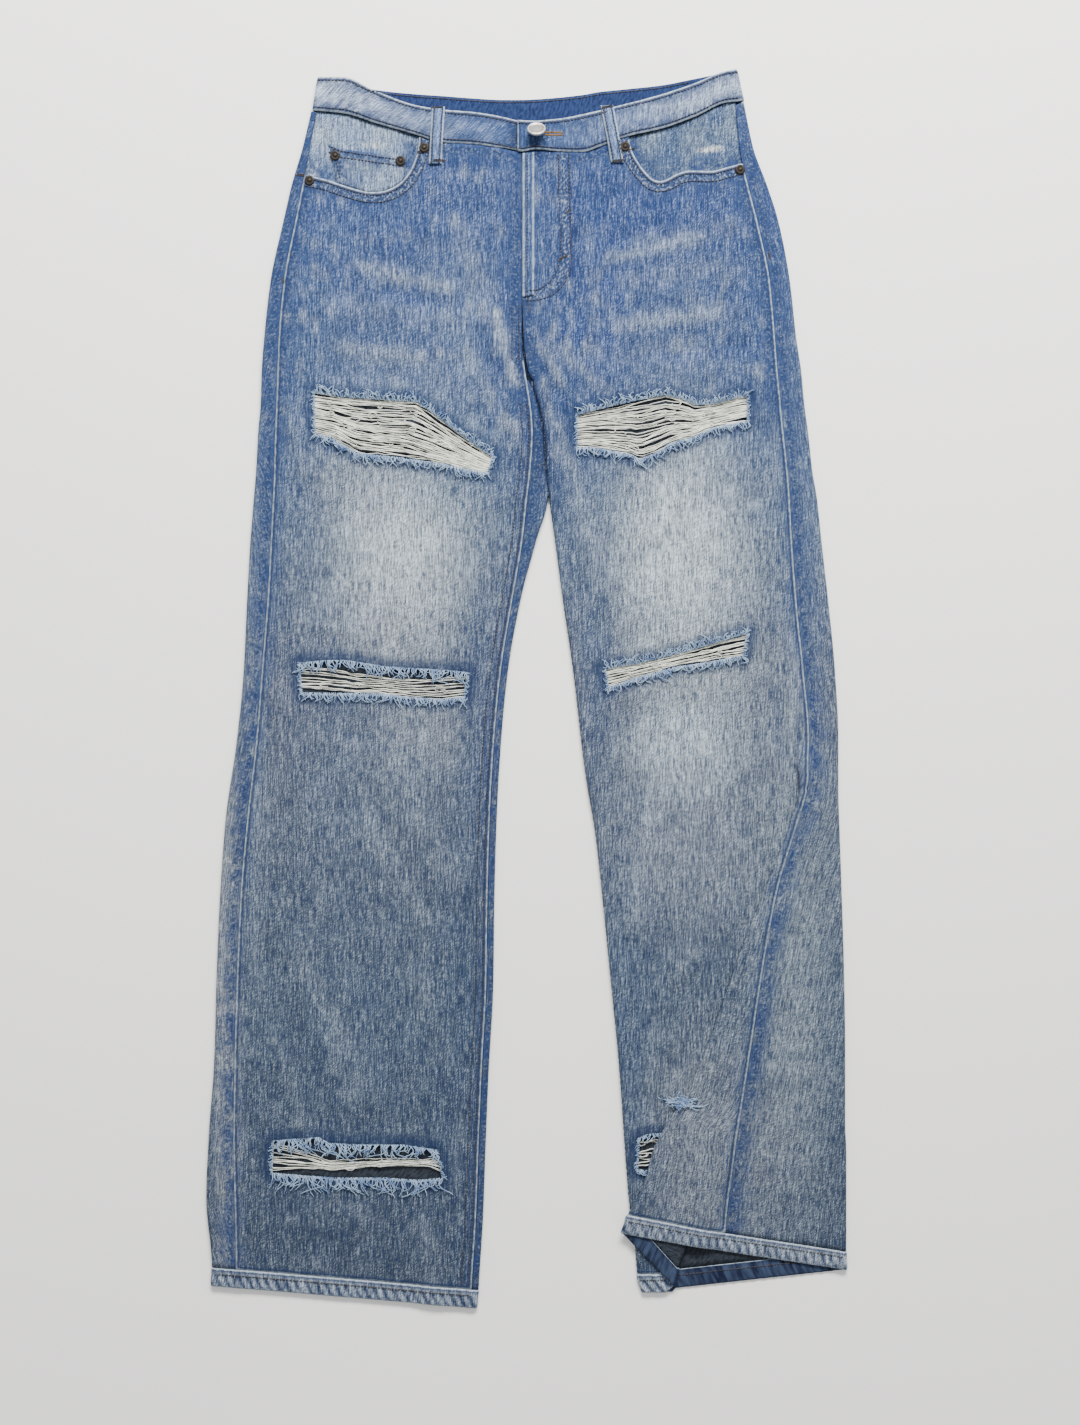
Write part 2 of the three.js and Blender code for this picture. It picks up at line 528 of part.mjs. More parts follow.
// What lies above a line across the garment, and what lies in a pocket's mouth.
const acrossLine = (column, drop) => {
  const xs = Array.from({ length: 77 }, (_, k) => -190 + 5 * k);
  const line = xs.map((x) => [x, waist(column, x) - drop]);
  return [[-BIG, line[0][1]], ...line, [BIG, line.at(-1)[1]]];
};
const above = (line) => [...line, [BIG, BIG], [-BIG, BIG]];
const below = (line) => [...line, [BIG, -BIG], [-BIG, -BIG]];
const frontTop = acrossLine("seam", SEAM_GAP);
const backTop = acrossLine("backSeam", 3 * SEAM_GAP);
const YOKE_LINE = [[-BIG, 499], [-190, 499], [-120, 462], [-60, 436], [CENTRE_BACK, 426],
  [60, 437], [120, 466], [188, 504], [BIG, 504]];
const shifted = (line, dy) => line.map(([x, y]) => [x, y + dy]);

function mouthRegion(side, grow) {
  const line = curve(POCKET_MOUTH[side], 22);
  const sign = side === "right" ? -1 : 1;
  const moved = line.map(([x, y], k) => {
    const [a, b] = [line[Math.max(0, k - 1)], line[Math.min(line.length - 1, k + 1)]];
    const long = Math.hypot(b[0] - a[0], b[1] - a[1]);
    return [x + (sign * (b[1] - a[1]) * grow) / long, y - (sign * (b[0] - a[0]) * grow) / long];
  });
  return [[moved[0][0], 560], ...moved, [sign * 260, moved[moved.length - 1][1]], [sign * 260, 560]];
}

const ripOutline = (rip) => [...rip.upper, ...[...rip.lower].reverse()];

function cutRips(solid, side) {
  return RIPS.filter((rip) => rip.side === side).reduce(
    (cloth, rip) => cloth.subtract(prism(ripOutline(rip), 1.5, rip.below ?? 20)), solid);
}

const HEM_ROWS = { right: [-510, -518, -526], left: [-516, -524, -532] };
const lowerRow = { right: -510 + SEAM_GAP, left: -516 + SEAM_GAP };
const rowsOf = (side) => [...SEAT_ROWS, ...LEG_ROWS[side], lowerRow[side]];

function rightFront() {
  const rows = rowsOf("right").map((y) => rightFrontRow(y, CLOTH, zRight));
  const cloth = wall(rows, CLOTH)
    .subtract(prism(above(frontTop), -5, 30))
    .subtract(prism(mouthRegion("right", 0), -5, 30));
  return cutRips(cloth, "right");
}

function leftFront() {
  const rows = rowsOf("left").map((y) => leftFrontRow(y, CLOTH, HALF));
  const cloth = wall(rows, CLOTH)
    .subtract(prism(above(frontTop), -5, 30))
    .subtract(prism(mouthRegion("left", 0), -5, 30));
  return cutRips(cloth, "left");
}

function backs(side) {
  const rows = side === "right"
    ? rowsOf("right").map((y) => rightBackRow(y, CLOTH, HALF, zRight))
    : rowsOf("left").map((y) => leftBackRow(y, CLOTH, HALF));
  const whole = wall(rows, CLOTH).subtract(prism(above(backTop), -5, 30));
  return {
    yoke: whole.subtract(prism(below(shifted(YOKE_LINE, SEAM_GAP / 2)), -5, 30)),
    panel: whole.subtract(prism(above(shifted(YOKE_LINE, -SEAM_GAP / 2)), -5, 30)),
  };
}

// Hems are rings of three layers that go all the way round each leg, tuck and all.
function rightHem() {
  const zAt = (x, y) => Math.max(frontZ("right", x, y), 1.5 * HEM + SEAM_GAP);
  const rows = HEM_ROWS.right.map((y) => {
    const top = flatRun(right("seam", y), right("inner", y), 12, (x) => [x, onRight(x, y), zAt(x, y)], UP);
    return [...top.slice(1, -1), ...rightBackRow(y, HEM, HEM / 2, zAt)];
  });
  return wall(rows, HEM, true);
}

function leftHem() {
  const rows = HEM_ROWS.left.map((y) => {
    const front = leftFrontRow(y, HEM, HEM / 2);
    const back = leftBackRow(y, HEM, HEM / 2);
    return [...front, ...back.slice(1, -1)];
  });
  return wall(rows, HEM, true);
}

// The waistband is one strip: from its buttoned end on top, round the wearer's left side, along the
// back, round the right side, and across the front to the end that lies under the button.
function waistband() {
  const across = 3;
  const rows = [];
  for (let i = 0; i <= across; i++) {
    const r = i / across;
    const normal = mix(BAND_Z.seam, BAND_Z.top, r);
    const frontY = (x) => mix(waist("seam", x), waist("top", x), r);
    const backY = (x) => mix(waist("backSeam", x), waist("backTop", x), r);
    const lapZ = (x) => normal + mix(1.2, 2.2, r) * smooth(44, 12, x);
    const underZ = (x) => normal - mix(1.6, 0.6, r) * smooth(-40, -13, x);
    const underY = (x) => frontY(x) + mix(1.5, 0, r) * smooth(-32, -13, x);
    const edges = { right: mix(-190.5, -186, r), left: mix(190, 184, r) };
    const radius = (normal - BAND_Z.back) / 2;
    const lips = { right: edges.right + radius + BAND / 2, left: edges.left - radius - BAND / 2 };
    rows.push([
      ...flatRun(LAP.end, lips.left, 14, (x) => [x, frontY(x), lapZ(x)], UP),
      ...turnPoints(edges.left, frontY(edges.left), normal, BAND_Z.back, 1, 4, BAND),
      ...flatRun(lips.left, lips.right, 20, (x) => [x, backY(x), BAND_Z.back], DOWN),
      ...turnPoints(edges.right, frontY(edges.right), BAND_Z.back, normal, -1, 4, BAND),
      ...flatRun(lips.right, LAP.under, 16, (x) => [x, underY(x), underZ(x)], UP),
    ]);
  }
  return wall(rows, BAND);
}

// A thin piece that lies over or under the front: a grid at a height, kept inside an outline.
function patch(outline, zAt, thickness, step = 12) {
  const xs = outline.map(([x]) => x);
  const ys = outline.map(([, y]) => y);
  const [x0, x1] = [Math.min(...xs) - 1, Math.max(...xs) + 1];
  const [y0, y1] = [Math.min(...ys) - 1, Math.max(...ys) + 1];
  const [nx, ny] = [Math.ceil((x1 - x0) / step), Math.ceil((y1 - y0) / step)];
  const rows = [];
  for (let i = 0; i <= ny; i++) {
    const y = mix(y1, y0, i / ny);
    rows.push(flatRun(x0, x1, nx, (x) => [x, y, zAt(x, y)], UP));
  }
  return wall(rows, thickness).intersect(prism(outline, -20, 40));
}

const FACING = 1.1;
const facingZ = (x, y) => frontZ(sideOf(x), x, y) - HALF - SEAM_GAP - FACING / 2;

function facing(side) {
  const sign = side === "right" ? -1 : 1;
  const seamX = (y) => (side === "right" ? right("seam", y) + SEAM_GAP : left("seam", y) - SEAM_GAP);
  const region = mouthRegion(side, 9);
  const keep = [[sign * 60, 420], ...[420, 450, 480, 520].map((y) => [seamX(y), y]), [sign * 60, 520]];
  return patch(keep, facingZ, FACING)
    .intersect(prism(region, -5, 30))
    .subtract(prism(above(frontTop), -5, 30));
}

function coinPocket() {
  const outline = [[-175, 479], [-109, 466], [-108, 440], [-120, 430], [-168, 440]];
  const zAt = (x, y) => facingZ(x, y) + FACING / 2 + SEAM_GAP + 0.5;
  return patch(outline, zAt, 1.0).intersect(prism(mouthRegion("right", -0.4), -5, 30));
}

// The folded, top-stitched edge of the fly, on the left front beside the opening.
const FLY = { x: -5.2, wide: 9.6, top: 471, bottom: 344 };
function flyEdge() {
  const { x, wide, top, bottom } = FLY;
  const outline = [[x, bottom], [x + wide, bottom + 2], [x + wide, top], [x, top - 1]];
  const zAt = (px, py) => frontZ("left", px, py) + HALF + SEAM_GAP + 0.5;
  return patch(outline, zAt, 1.0);
}
function flyUnderlap() {
  const outline = [[-22, 340], [24, 340], [30, 352], [30, 464], [-22, 464]];
  const zAt = (x, y) => Math.min(frontZ("left", x, y), frontZ("right", Math.min(x, -6), y)) - CLOTH - SEAM_GAP;
  return patch(outline, zAt, CLOTH);
}

function backPocket(side) {
  const sign = side === "right" ? -1 : 1;
  const corners = [[38, 398], [172, 404], [166, 286], [103, 258], [44, 282]];
  const outline = corners.map(([x, y]) => [sign * x, y]);
  return prism(side === "right" ? outline.reverse() : outline, 0, 0.95);
}

// Belt loops run along y over the band.
function frontLoop(x, lean) {
  const top = waist("top", x) + 1.5;
  const rows = Array.from({ length: 7 }, (_, k) => {
    const t = k / 6;
    const y = top - LOOP.length * t;
    const middle = x + lean * (t - 0.5);
    const arch = 0.8 * Math.sin(Math.PI * t);
    const band = mix(BAND_Z.top, BAND_Z.seam, clamp01((waist("top", x) - y) / 30)) + BAND / 2;
    const cloth = frontZ(sideOf(x), x, y) + HALF;
    const under = y < waist("seam", x) - 4 ? cloth + 0.9 * smooth(-12, -4, y - waist("seam", x)) : band;
    const z = under + SEAM_GAP + LOOP.thickness / 2 + arch;
    return flatRun(middle - LOOP.width / 2, middle + LOOP.width / 2, 2, (px) => [px, y, z], UP);
  });
  return wall(rows, LOOP.thickness);
}

function backLoop(x) {
  const top = waist("backTop", x) - 0.5;
  const half = LOOP.width / 2;
  return prism([[x - half, top - LOOP.length], [x + half, top - LOOP.length], [x + half, top], [x - half, top]],
    0, BACK_LIFT - SEAM_GAP);
}

// Metal
function lathe(profile, segments) {
  const points = profile.map(([r, z]) => new THREE.Vector2(r, z));
  return toSolid(new THREE.LatheGeometry(points, segments).rotateX(Math.PI / 2));
}
function rivet() {
  const { radius: r, height: h, nipple } = RIVET;
  return lathe([[0, 0], [r, 0], [r, 0.5], [r * 0.8, 1.1], [nipple, h * 0.72], [nipple, h], [0, h]], 10);
}
function button() {
  const { radius: r, height: h, shank, rise } = BUTTON;
  return lathe([[0, -rise], [shank, -rise], [shank, -0.4], [r, 0], [r, h * 0.55], [r * 0.86, h],
    [r * 0.62, h * 0.86], [0, h * 0.8]], 20);
}

// Yarns: three-sided tapering strands, fused to a narrow strip
function strand(points, radius, tip) {
  const rings = points.map((p, k) => {
    const [a, b] = [points[Math.max(0, k - 1)], points[Math.min(points.length - 1, k + 1)]];
    const along = new THREE.Vector3(b[0] - a[0], b[1] - a[1], b[2] - a[2]).normalize();
    const side = new THREE.Vector3(-along.y, along.x, 0).normalize();
    const up = new THREE.Vector3().crossVectors(along, side);
    const r = mix(radius, tip, k / (points.length - 1));
    return [0, 1, 2].map((c) => {
      const angle = (2 * Math.PI * c) / 3 + Math.PI / 2;
      return p.map((v, d) => v + r * (Math.cos(angle) * side.getComponent(d) + Math.sin(angle) * up.getComponent(d)));
    });
  });
  const triangles = [];
  for (let k = 0; k < rings.length - 1; k++) {
    for (let c = 0; c < 3; c++) {
      const [a, b] = [3 * k + c, 3 * k + ((c + 1) % 3)];
      triangles.push([a, b, b + 3], [a, b + 3, a + 3]);
    }
  }
  const end = 3 * (rings.length - 1);
  triangles.push([0, 2, 1], [end, end + 1, end + 2]);
  return fromPoints(rings.flat(), triangles);
}

function alongLine(points) {
  const flat = points.map(([x, y]) => new THREE.Vector3(x, y, 0));
  const path = new THREE.CurvePath();
  for (let k = 0; k < flat.length - 1; k++) path.add(new THREE.LineCurve3(flat[k], flat[k + 1]));
  return (t) => path.getPointAt(clamp01(t));
}

// A strip along a line, worked out from the cloth's points moved up or down by lift.
function stripOn(side, points, lift, wide, thick, steps) {
  const at = alongLine(points);
  const rows = Array.from({ length: steps + 1 }, (_, k) => {
    const [a, b] = [at(k / steps - 0.01), at(k / steps + 0.01)];
    const p = at(k / steps);
    const long = Math.hypot(b.x - a.x, b.y - a.y);
    const n = [-(b.y - a.y) / long, (b.x - a.x) / long];
    return [-0.5, 0.5].map((w) => {
      const [x, y] = [p.x + n[0] * wide * w, p.y + n[1] * wide * w];
      return { p: [x, y, clothZ(side, x, y) + lift], n: UP };
    });
  });
  return wall(rows, thick);
}
const clothZ = (side, x, y) => (side === "left" ? lowerZ(x, y) : frontZ(side, x, y));

const joined = (solids) => solids.reduce((a, b) => a.add(b));

// The crossing yarns of one rip, held by a strip under the cloth at each end.
function crossing(rip, index) {
  const last = (line) => line[line.length - 1];
  const ends = [[rip.upper[0], rip.lower[0]], [last(rip.upper), last(rip.lower)]];
  const depth = -(HALF + SEAM_GAP + 0.4);
  const out = [-1.6, 1.6];
  const strips = ends.map(([a, b], k) =>
    stripOn(rip.side, [[a[0] + out[k], a[1]], [b[0] + out[k], b[1]]], depth, 2, 0.7, 3));
  const yarns = Array.from({ length: rip.yarns }, (_, k) => {
    const f = (k + 0.5) / rip.yarns;
    const start = ends[0][0].map((v, d) => mix(v, ends[0][1][d], f));
    const stop = ends[1][0].map((v, d) => mix(v, ends[1][1][d], f));
    const points = [0, 0.3, 0.65, 1].map((t, m) => {
      const x = mix(start[0] + out[0], stop[0] + out[1], t);
      const wave = (m % 3 === 0 ? 0 : 1) * (scatter(index * 31 + k * 7 + m) - 0.5) * 1.2;
      const y = mix(start[1], stop[1], t) + wave;
      return [x, y, clothZ(rip.side, x, y) + depth];
    });
    return strand(points, 0.5, 0.5);
  });
  return joined([...strips, ...yarns]);
}

// The frayed ends along one edge of a rip, on a strip over the cloth's edge.
function frayed(rip, line, fray, index) {
  const lift = HALF + 2 * SEAM_GAP + 0.4;
  const inset = line === rip.upper ? 1.3 : -1.3;
  const edge = line.slice(0, fray.part).map(([x, y]) => [x, y + inset]);
  const at = alongLine(edge);
  const strip = stripOn(rip.side, edge, lift, 1.8, 0.8, edge.length + 3);
  const strands = Array.from({ length: fray.count }, (_, k) => {
    const t = (k + 0.5) / fray.count;
    const root = at(t);
    const seed = index * 101 + k * 3;
    const long = fray.long * (0.75 + 0.5 * scatter(seed));
    const lean = (scatter(seed + 1) - 0.5) * 0.7 * long;
    const z = (x, y, up) => clothZ(rip.side, x, y) + lift + up;
    const [mx, my] = [root.x + lean * 0.3, root.y + fray.way * long * 0.55];
    const [tx, ty] = [root.x + lean, root.y + fray.way * long];
    return strand([
      [root.x, root.y, z(root.x, root.y, 0)],
      [mx, my, z(mx, my, 1.3)],
      [tx, ty, z(tx, ty, 0.5)],
    ], 0.6, 0.3);
  });
  return joined([strip, ...strands]);
}

// The assembly
const garment = new THREE.Group();
const DENIM = { color: 0x7f8fa6, roughness: 0.9, metalness: 0 };
const FINISH = {
  denim: DENIM,
  facing: { color: 0x8f9bab, roughness: 0.9, metalness: 0 },
  yarn_white: { color: 0xd8d8cc, roughness: 0.95, metalness: 0 },
  yarn_blue: { color: 0x7f97b0, roughness: 0.95, metalness: 0 },
  rivet_metal: { color: 0x3d3733, roughness: 0.45, metalness: 0.9 },
  button_metal: { color: 0xc9c7c2, roughness: 0.35, metalness: 0.95 },
};

function place(name, solid, finish, spot = [0, 0, 0], tilt = [0, 0]) {
  const made = solid.simplify(FINEST).getMesh();
  const count = made.numVert;
  const flat = new Float32Array(count * 3);
  for (let i = 0; i < count; i++) {
    flat.set(made.vertProperties.subarray(i * made.numProp, i * made.numProp + 3), i * 3);
  }
  const geometry = new THREE.BufferGeometry()
    .setAttribute("position", new THREE.BufferAttribute(flat, 3))
    .setIndex(new THREE.BufferAttribute(made.triVerts, 1));
  geometry.computeVertexNormals();
  const mesh = new THREE.Mesh(geometry, new THREE.MeshStandardMaterial(FINISH[finish]));
  mesh.name = name;
  mesh.position.set(...spot);
  mesh.rotation.set(tilt[0], tilt[1], 0);
  garment.add(mesh);
}

place("front_right", rightFront(), "denim");
place("front_left", leftFront(), "denim");
for (const side of ["right", "left"]) {
  const { yoke, panel } = backs(side);
  place(`back_${side}`, panel, "denim");
  place(`yoke_${side}`, yoke, "denim");
  place(`pocket_facing_${side}`, facing(side), "facing");
  place(`back_pocket_${side}`, backPocket(side), "denim");
}
place("hem_right", rightHem(), "denim");
place("hem_left", leftHem(), "denim");
place("waistband", waistband(), "denim");
place("coin_pocket", coinPocket(), "denim");
place("fly_edge", flyEdge(), "denim");
place("fly_underlap", flyUnderlap(), "denim");

const FRONT_LOOPS = [{ name: "right", x: -80.5, lean: -3 }, { name: "left", x: 73.5, lean: 9 }];
for (const loop of FRONT_LOOPS) place(`loop_front_${loop.name}`, frontLoop(loop.x, loop.lean), "denim");
const BACK_LOOPS = [{ name: "right", x: -80 }, { name: "centre", x: 0 }, { name: "left", x: 84 }];
for (const loop of BACK_LOOPS) place(`loop_back_${loop.name}`, backLoop(loop.x), "denim");

RIPS.forEach((rip, index) => {
  place(`yarns_${rip.name}`, crossing(rip, index), "yarn_white");
  place(`fray_upper_${rip.name}`, frayed(rip, rip.upper, rip.up, 2 * index), "yarn_blue");
  if (rip.down) place(`fray_lower_${rip.name}`, frayed(rip, rip.lower, rip.down, 2 * index + 1), "yarn_blue");
});

const frontTopAt = (x, y) => frontZ(sideOf(x), x, y) + HALF + SEAM_GAP;
const RIVETS = [
  { name: "right_outer", x: -192.5, y: 446.5 },
  { name: "right_inner", x: -91.8, y: 475.5 },
  { name: "left_inner", x: 85, y: 476.5 },
  { name: "left_outer", x: 186, y: 456 },
];
for (const { name, x, y } of RIVETS) place(`rivet_${name}`, rivet(), "rivet_metal", [x, y, frontTopAt(x, y)]);
const COIN_RIVETS = [{ name: "coin_outer", x: -170, y: 468.5 }, { name: "coin_inner", x: -112.5, y: 464 }];
for (const { name, x, y } of COIN_RIVETS) {
  place(`rivet_${name}`, rivet(), "rivet_metal", [x, y, facingZ(x, y) + FACING / 2 + 2 * SEAM_GAP + 1.05]);
}
const buttonRim = BUTTON.radius * Math.sin(BUTTON.tilt);
place("button", button(), "button_metal", [7, 488, 9.35 + SEAM_GAP + buttonRim], [-BUTTON.tilt, 0]);

// The frame's origin is under the middle of the garment's box.
const middle = new THREE.Box3().setFromObject(garment).getCenter(new THREE.Vector3());
for (const mesh of garment.children) mesh.position.sub(new THREE.Vector3(middle.x, middle.y, 0));

export default garment;
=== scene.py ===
import json
import math

import bmesh
import bpy
import numpy as np
from mathutils import Matrix, Vector
from mathutils.bvhtree import BVHTree
from mathutils.geometry import delaunay_2d_cdt
from mathutils.kdtree import KDTree

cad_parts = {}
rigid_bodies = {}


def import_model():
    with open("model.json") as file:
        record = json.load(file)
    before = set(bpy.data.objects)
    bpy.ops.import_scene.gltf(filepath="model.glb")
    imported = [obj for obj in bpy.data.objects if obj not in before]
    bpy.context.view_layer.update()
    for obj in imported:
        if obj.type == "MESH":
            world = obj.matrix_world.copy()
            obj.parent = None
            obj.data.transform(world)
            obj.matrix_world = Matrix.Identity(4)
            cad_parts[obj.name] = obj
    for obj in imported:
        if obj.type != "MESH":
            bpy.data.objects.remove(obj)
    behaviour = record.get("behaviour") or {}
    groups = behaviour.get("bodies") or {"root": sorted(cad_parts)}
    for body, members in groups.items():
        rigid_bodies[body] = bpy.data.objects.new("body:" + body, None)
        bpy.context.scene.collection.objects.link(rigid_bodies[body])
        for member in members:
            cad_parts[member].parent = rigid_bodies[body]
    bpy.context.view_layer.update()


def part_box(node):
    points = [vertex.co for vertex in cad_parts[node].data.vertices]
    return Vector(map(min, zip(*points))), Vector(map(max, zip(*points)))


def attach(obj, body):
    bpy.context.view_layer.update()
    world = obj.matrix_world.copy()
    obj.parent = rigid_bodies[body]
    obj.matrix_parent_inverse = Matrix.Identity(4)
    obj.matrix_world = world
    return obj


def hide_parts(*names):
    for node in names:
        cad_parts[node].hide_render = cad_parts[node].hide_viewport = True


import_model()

# Camera
# The garment is seen from straight above, with the waist at the top of the picture. The frame takes in
# 950 by 1254 mm of the plane in which the cloth lies. Tables below are in millimetres, measured from
# the fly as the pattern is drawn; world() moves them into the frame and turns them to metres.
FLY_EDGE_MM = -5.7  # x of the left front's fly edge in the tables
RIGHT_HEM_MM = -546.0  # y of the lowest corner of the right hem in the tables
PATTERN_SHIFT = np.array([
    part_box("front_left")[0][0] * 1000 - FLY_EDGE_MM,
    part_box("hem_right")[0][1] * 1000 - RIGHT_HEM_MM,
    0.0,
])
PICTURE_WIDE = 950.4
PICTURE_MIDDLE = (10.1, -21.1)
CLOTH_PLANE = 5.0
CAMERA_AWAY = 1700.0
SENSOR_WIDE = 36.0


def world(points):
    return (np.atleast_2d(points) + PATTERN_SHIFT) / 1000.0


def placed(name, data):
    thing = bpy.data.objects.new(name, data)
    bpy.context.scene.collection.objects.link(thing)
    return thing


camera_lens = bpy.data.cameras.new("overhead_camera")
camera_lens.sensor_fit = "HORIZONTAL"
camera_lens.sensor_width = SENSOR_WIDE
camera_lens.lens = SENSOR_WIDE * CAMERA_AWAY / PICTURE_WIDE
camera = placed("overhead_camera", camera_lens)
camera.location = world([*PICTURE_MIDDLE, CLOTH_PLANE + CAMERA_AWAY])[0]
bpy.context.scene.camera = camera

# Table and light
# The surface is a wide sheet of matt white paper board. A broad soft window above the waist gives the
# light, and a dimmer even light from all round fills the shadows.
TABLE_WHITE = "#f7f6f3"


def linear(hex_colour):
    parts = [int(hex_colour[k:k + 2], 16) / 255 for k in (1, 3, 5)]
    return (*[p / 12.92 if p <= 0.04045 else ((p + 0.055) / 1.055) ** 2.4 for p in parts], 1.0)


def dye_of(hex_colour):
    return np.array(linear(hex_colour)[:3])


def add(tree, kind, inputs=None, **settings):
    node = tree.nodes.new(kind)
    for name, value in settings.items():
        setattr(node, name, value)
    for socket, value in (inputs or {}).items():
        if isinstance(value, bpy.types.NodeSocket):
            tree.links.new(value, node.inputs[socket])
        else:
            node.inputs[socket].default_value = value
    return node


def blank_material(name):
    material = bpy.data.materials.new(name)
    material.use_nodes = True
    material.node_tree.nodes.clear()
    return material, material.node_tree


def matt_paper_board():
    # Uncoated board: no gloss, and a faint unevenness of tone.
    material, tree = blank_material("matt_white_paper_board")
    spot = add(tree, "ShaderNodeTexCoord")
    cloud = add(tree, "ShaderNodeTexNoise", {"Vector": spot.outputs["Object"], "Scale": 2.0, "Detail": 2.0})
    tone = add(tree, "ShaderNodeMix", {"Factor": cloud.outputs["Fac"], "A": linear(TABLE_WHITE),
                                       "B": linear("#f2f1ee")}, data_type="RGBA")
    shader = add(tree, "ShaderNodeBsdfPrincipled", {"Base Color": tone.outputs["Result"], "Roughness": 0.92,
                                                    "Specular IOR Level": 0.2})
    add(tree, "ShaderNodeOutputMaterial", {"Surface": shader.outputs["BSDF"]})
    return material


table_mesh = bpy.data.meshes.new("table")
TABLE_HALF, TABLE_TOP = 4.0, -0.0003
table_corners = [(x * TABLE_HALF, y * TABLE_HALF, TABLE_TOP) for x, y in ((-1, -1), (1, -1), (1, 1), (-1, 1))]
table_mesh.from_pydata(table_corners, [], [(0, 1, 2, 3)])
table_mesh.materials.append(matt_paper_board())
table = placed("table", table_mesh)


def soft_window(name, place, aim, size, watts):
    lamp = bpy.data.lights.new(name, "AREA")
    lamp.shape = "RECTANGLE"
    lamp.size, lamp.size_y = size
    lamp.energy = watts
    lamp.color = (1.0, 0.985, 0.965)
    holder = placed(name, lamp)
    holder.location = place
    holder.rotation_euler = (Vector(aim) - Vector(place)).to_track_quat("-Z", "Y").to_euler()


soft_window("window", (0.25, 1.9, 1.5), (0.0, 0.05, 0.0), (1.6, 0.7), 175.0)
sky = bpy.data.worlds.new("room")
sky.use_nodes = True
sky.node_tree.nodes["Background"].inputs["Color"].default_value = linear("#f4f5f7")
sky.node_tree.nodes["Background"].inputs["Strength"].default_value = 0.82
bpy.context.scene.world = sky

# Right back panel and yoke
# The panel is cut from washed denim, felled to the front at the inseam and joined to it at the side
# seam. Laid flat, it comes round both edges of the leg and shows beside the front as a narrow strip.
CLOTH = 1.2
SEAM_GAP = 0.3
CENTRE_BACK = -1.0
BACK_LIFT = 1.3
CROTCH_FLAT, CROTCH_ROUND = 281, 262  # the panels start to go round to the inseam between these
RIGHT_TABLE = [  # y, outseam outline, side seam, front's inner end, inseam outline
    (516, -190, -185, -6, -6), (474, -200, -193, -6, -6), (447, -208, -198, -6, -6),
    (412, -216, -205, -6, -6), (360, -227, -215, -6, -6), (307, -233, -220, -6, -4),
    (281, -235, -221, -3, -1), (250, -236, -222, 2, 7.5), (228, -238, -223, 4, 12),
    (192, -240, -224, 2, 15), (168, -242, -225, -1, 17), (131, -245, -227, -5, 7),
    (78, -248, -230, -14, -7), (16, -251, -235, -24, -18), (-45, -257, -240, -30, -24),
    (-116, -267, -248, -34, -28), (-186, -272, -254, -36, -30), (-256, -275, -257, -37, -31),
    (-327, -277, -259, -41, -35), (-397, -282, -260, -44, -38), (-450, -284, -259, -46, -40),
    (-494, -280, -258, -49, -43), (-510, -279, -258, -50, -44), (-526, -280.5, -259, -51, -45),
]
HEM_SLANT, HEM_SLANT_START, HEM_SLANT_END = 20, -150, -510
LOFT = [
    (520, 6.9), (470, 6.8), (400, 6.6), (300, 6.2), (200, 5.6), (100, 4.8), (0, 4.5), (-400, 4.4),
    (-540, 3.8),
]
SAG = 0.9
FOLDS = [  # from x, y to x, y; half width; height, with a trough below nought
    (-150, -90, -96, -190, 22, -1.1), (-118, -70, -62, -165, 24, 1.7), (-222, -255, -180, -372, 20, -1.0),
    (-196, -235, -150, -350, 24, 1.3), (-92, -470, -84, -520, 13, 1.8), (-40, 330, -8, 262, 13, 1.5),
    (-70, 300, -20, 225, 14, -0.9), (24, 300, 70, 262, 15, 1.3), (30, 210, 60, 120, 18, 1.3),
    (-160, 330, -90, 322, 16, 1.0), (90, 345, 170, 362, 16, 1.0), (235, 20, 226, -70, 16, 1.6),
    (120, -60, 92, -200, 24, 1.2), (-60, 150, -75, 60, 20, 1.2),
]
CREASES = [  # the same for small creases, on the cloth alone
    (-28, 330, -12, 268, 4, 0.9), (-44, 312, -24, 246, 5, -0.7), (-20, 246, 2, 196, 4, 0.8),
    (10, 300, 30, 268, 4, 0.9), (20, 262, 46, 236, 5, -0.7), (24, 232, 42, 190, 4, 0.7),
    (-150, 372, -70, 352, 6, 0.5), (-165, 300, -95, 292, 7, 0.5), (-120, 345, -60, 336, 6, -0.5),
    (70, 378, 150, 396, 6, 0.5), (80, 318, 165, 330, 7, 0.5), (100, 290, 190, 300, 6, -0.5),
    (-205, 60, -150, 48, 6, 0.6), (-190, -40, -120, -62, 7, 0.6), (-140, -120, -92, -204, 7, 0.8),
    (-226, -300, -196, -392, 6, 0.7), (-100, -250, -70, -330, 8, 0.6), (-168, -452, -130, -470, 6, 0.5),
    (76, -10, 130, 10, 6, 0.6), (96, -40, 160, -24, 6, 0.5), (232, 40, 238, -20, 5, 0.9),
    (214, 0, 224, -60, 6, -0.8), (104, -120, 90, -210, 7, 0.7), (150, -150, 132, -250, 8, 0.5),
    (110, -300, 104, -380, 6, 0.6), (-60, -380, -66, -440, 6, 0.6), (40, 150, 62, 96, 6, 0.5),
    (-215, 250, -196, 190, 6, 0.6), (-212, 130, -200, 60, 6, 0.5), (222, 240, 214, 170, 6, 0.6),
]


def mix(a, b, t):
    return a + (b - a) * t


def smooth(a, b, x):
    t = np.clip((np.asarray(x, float) - a) / (b - a), 0, 1)
    return t * t * (3 - 2 * t)


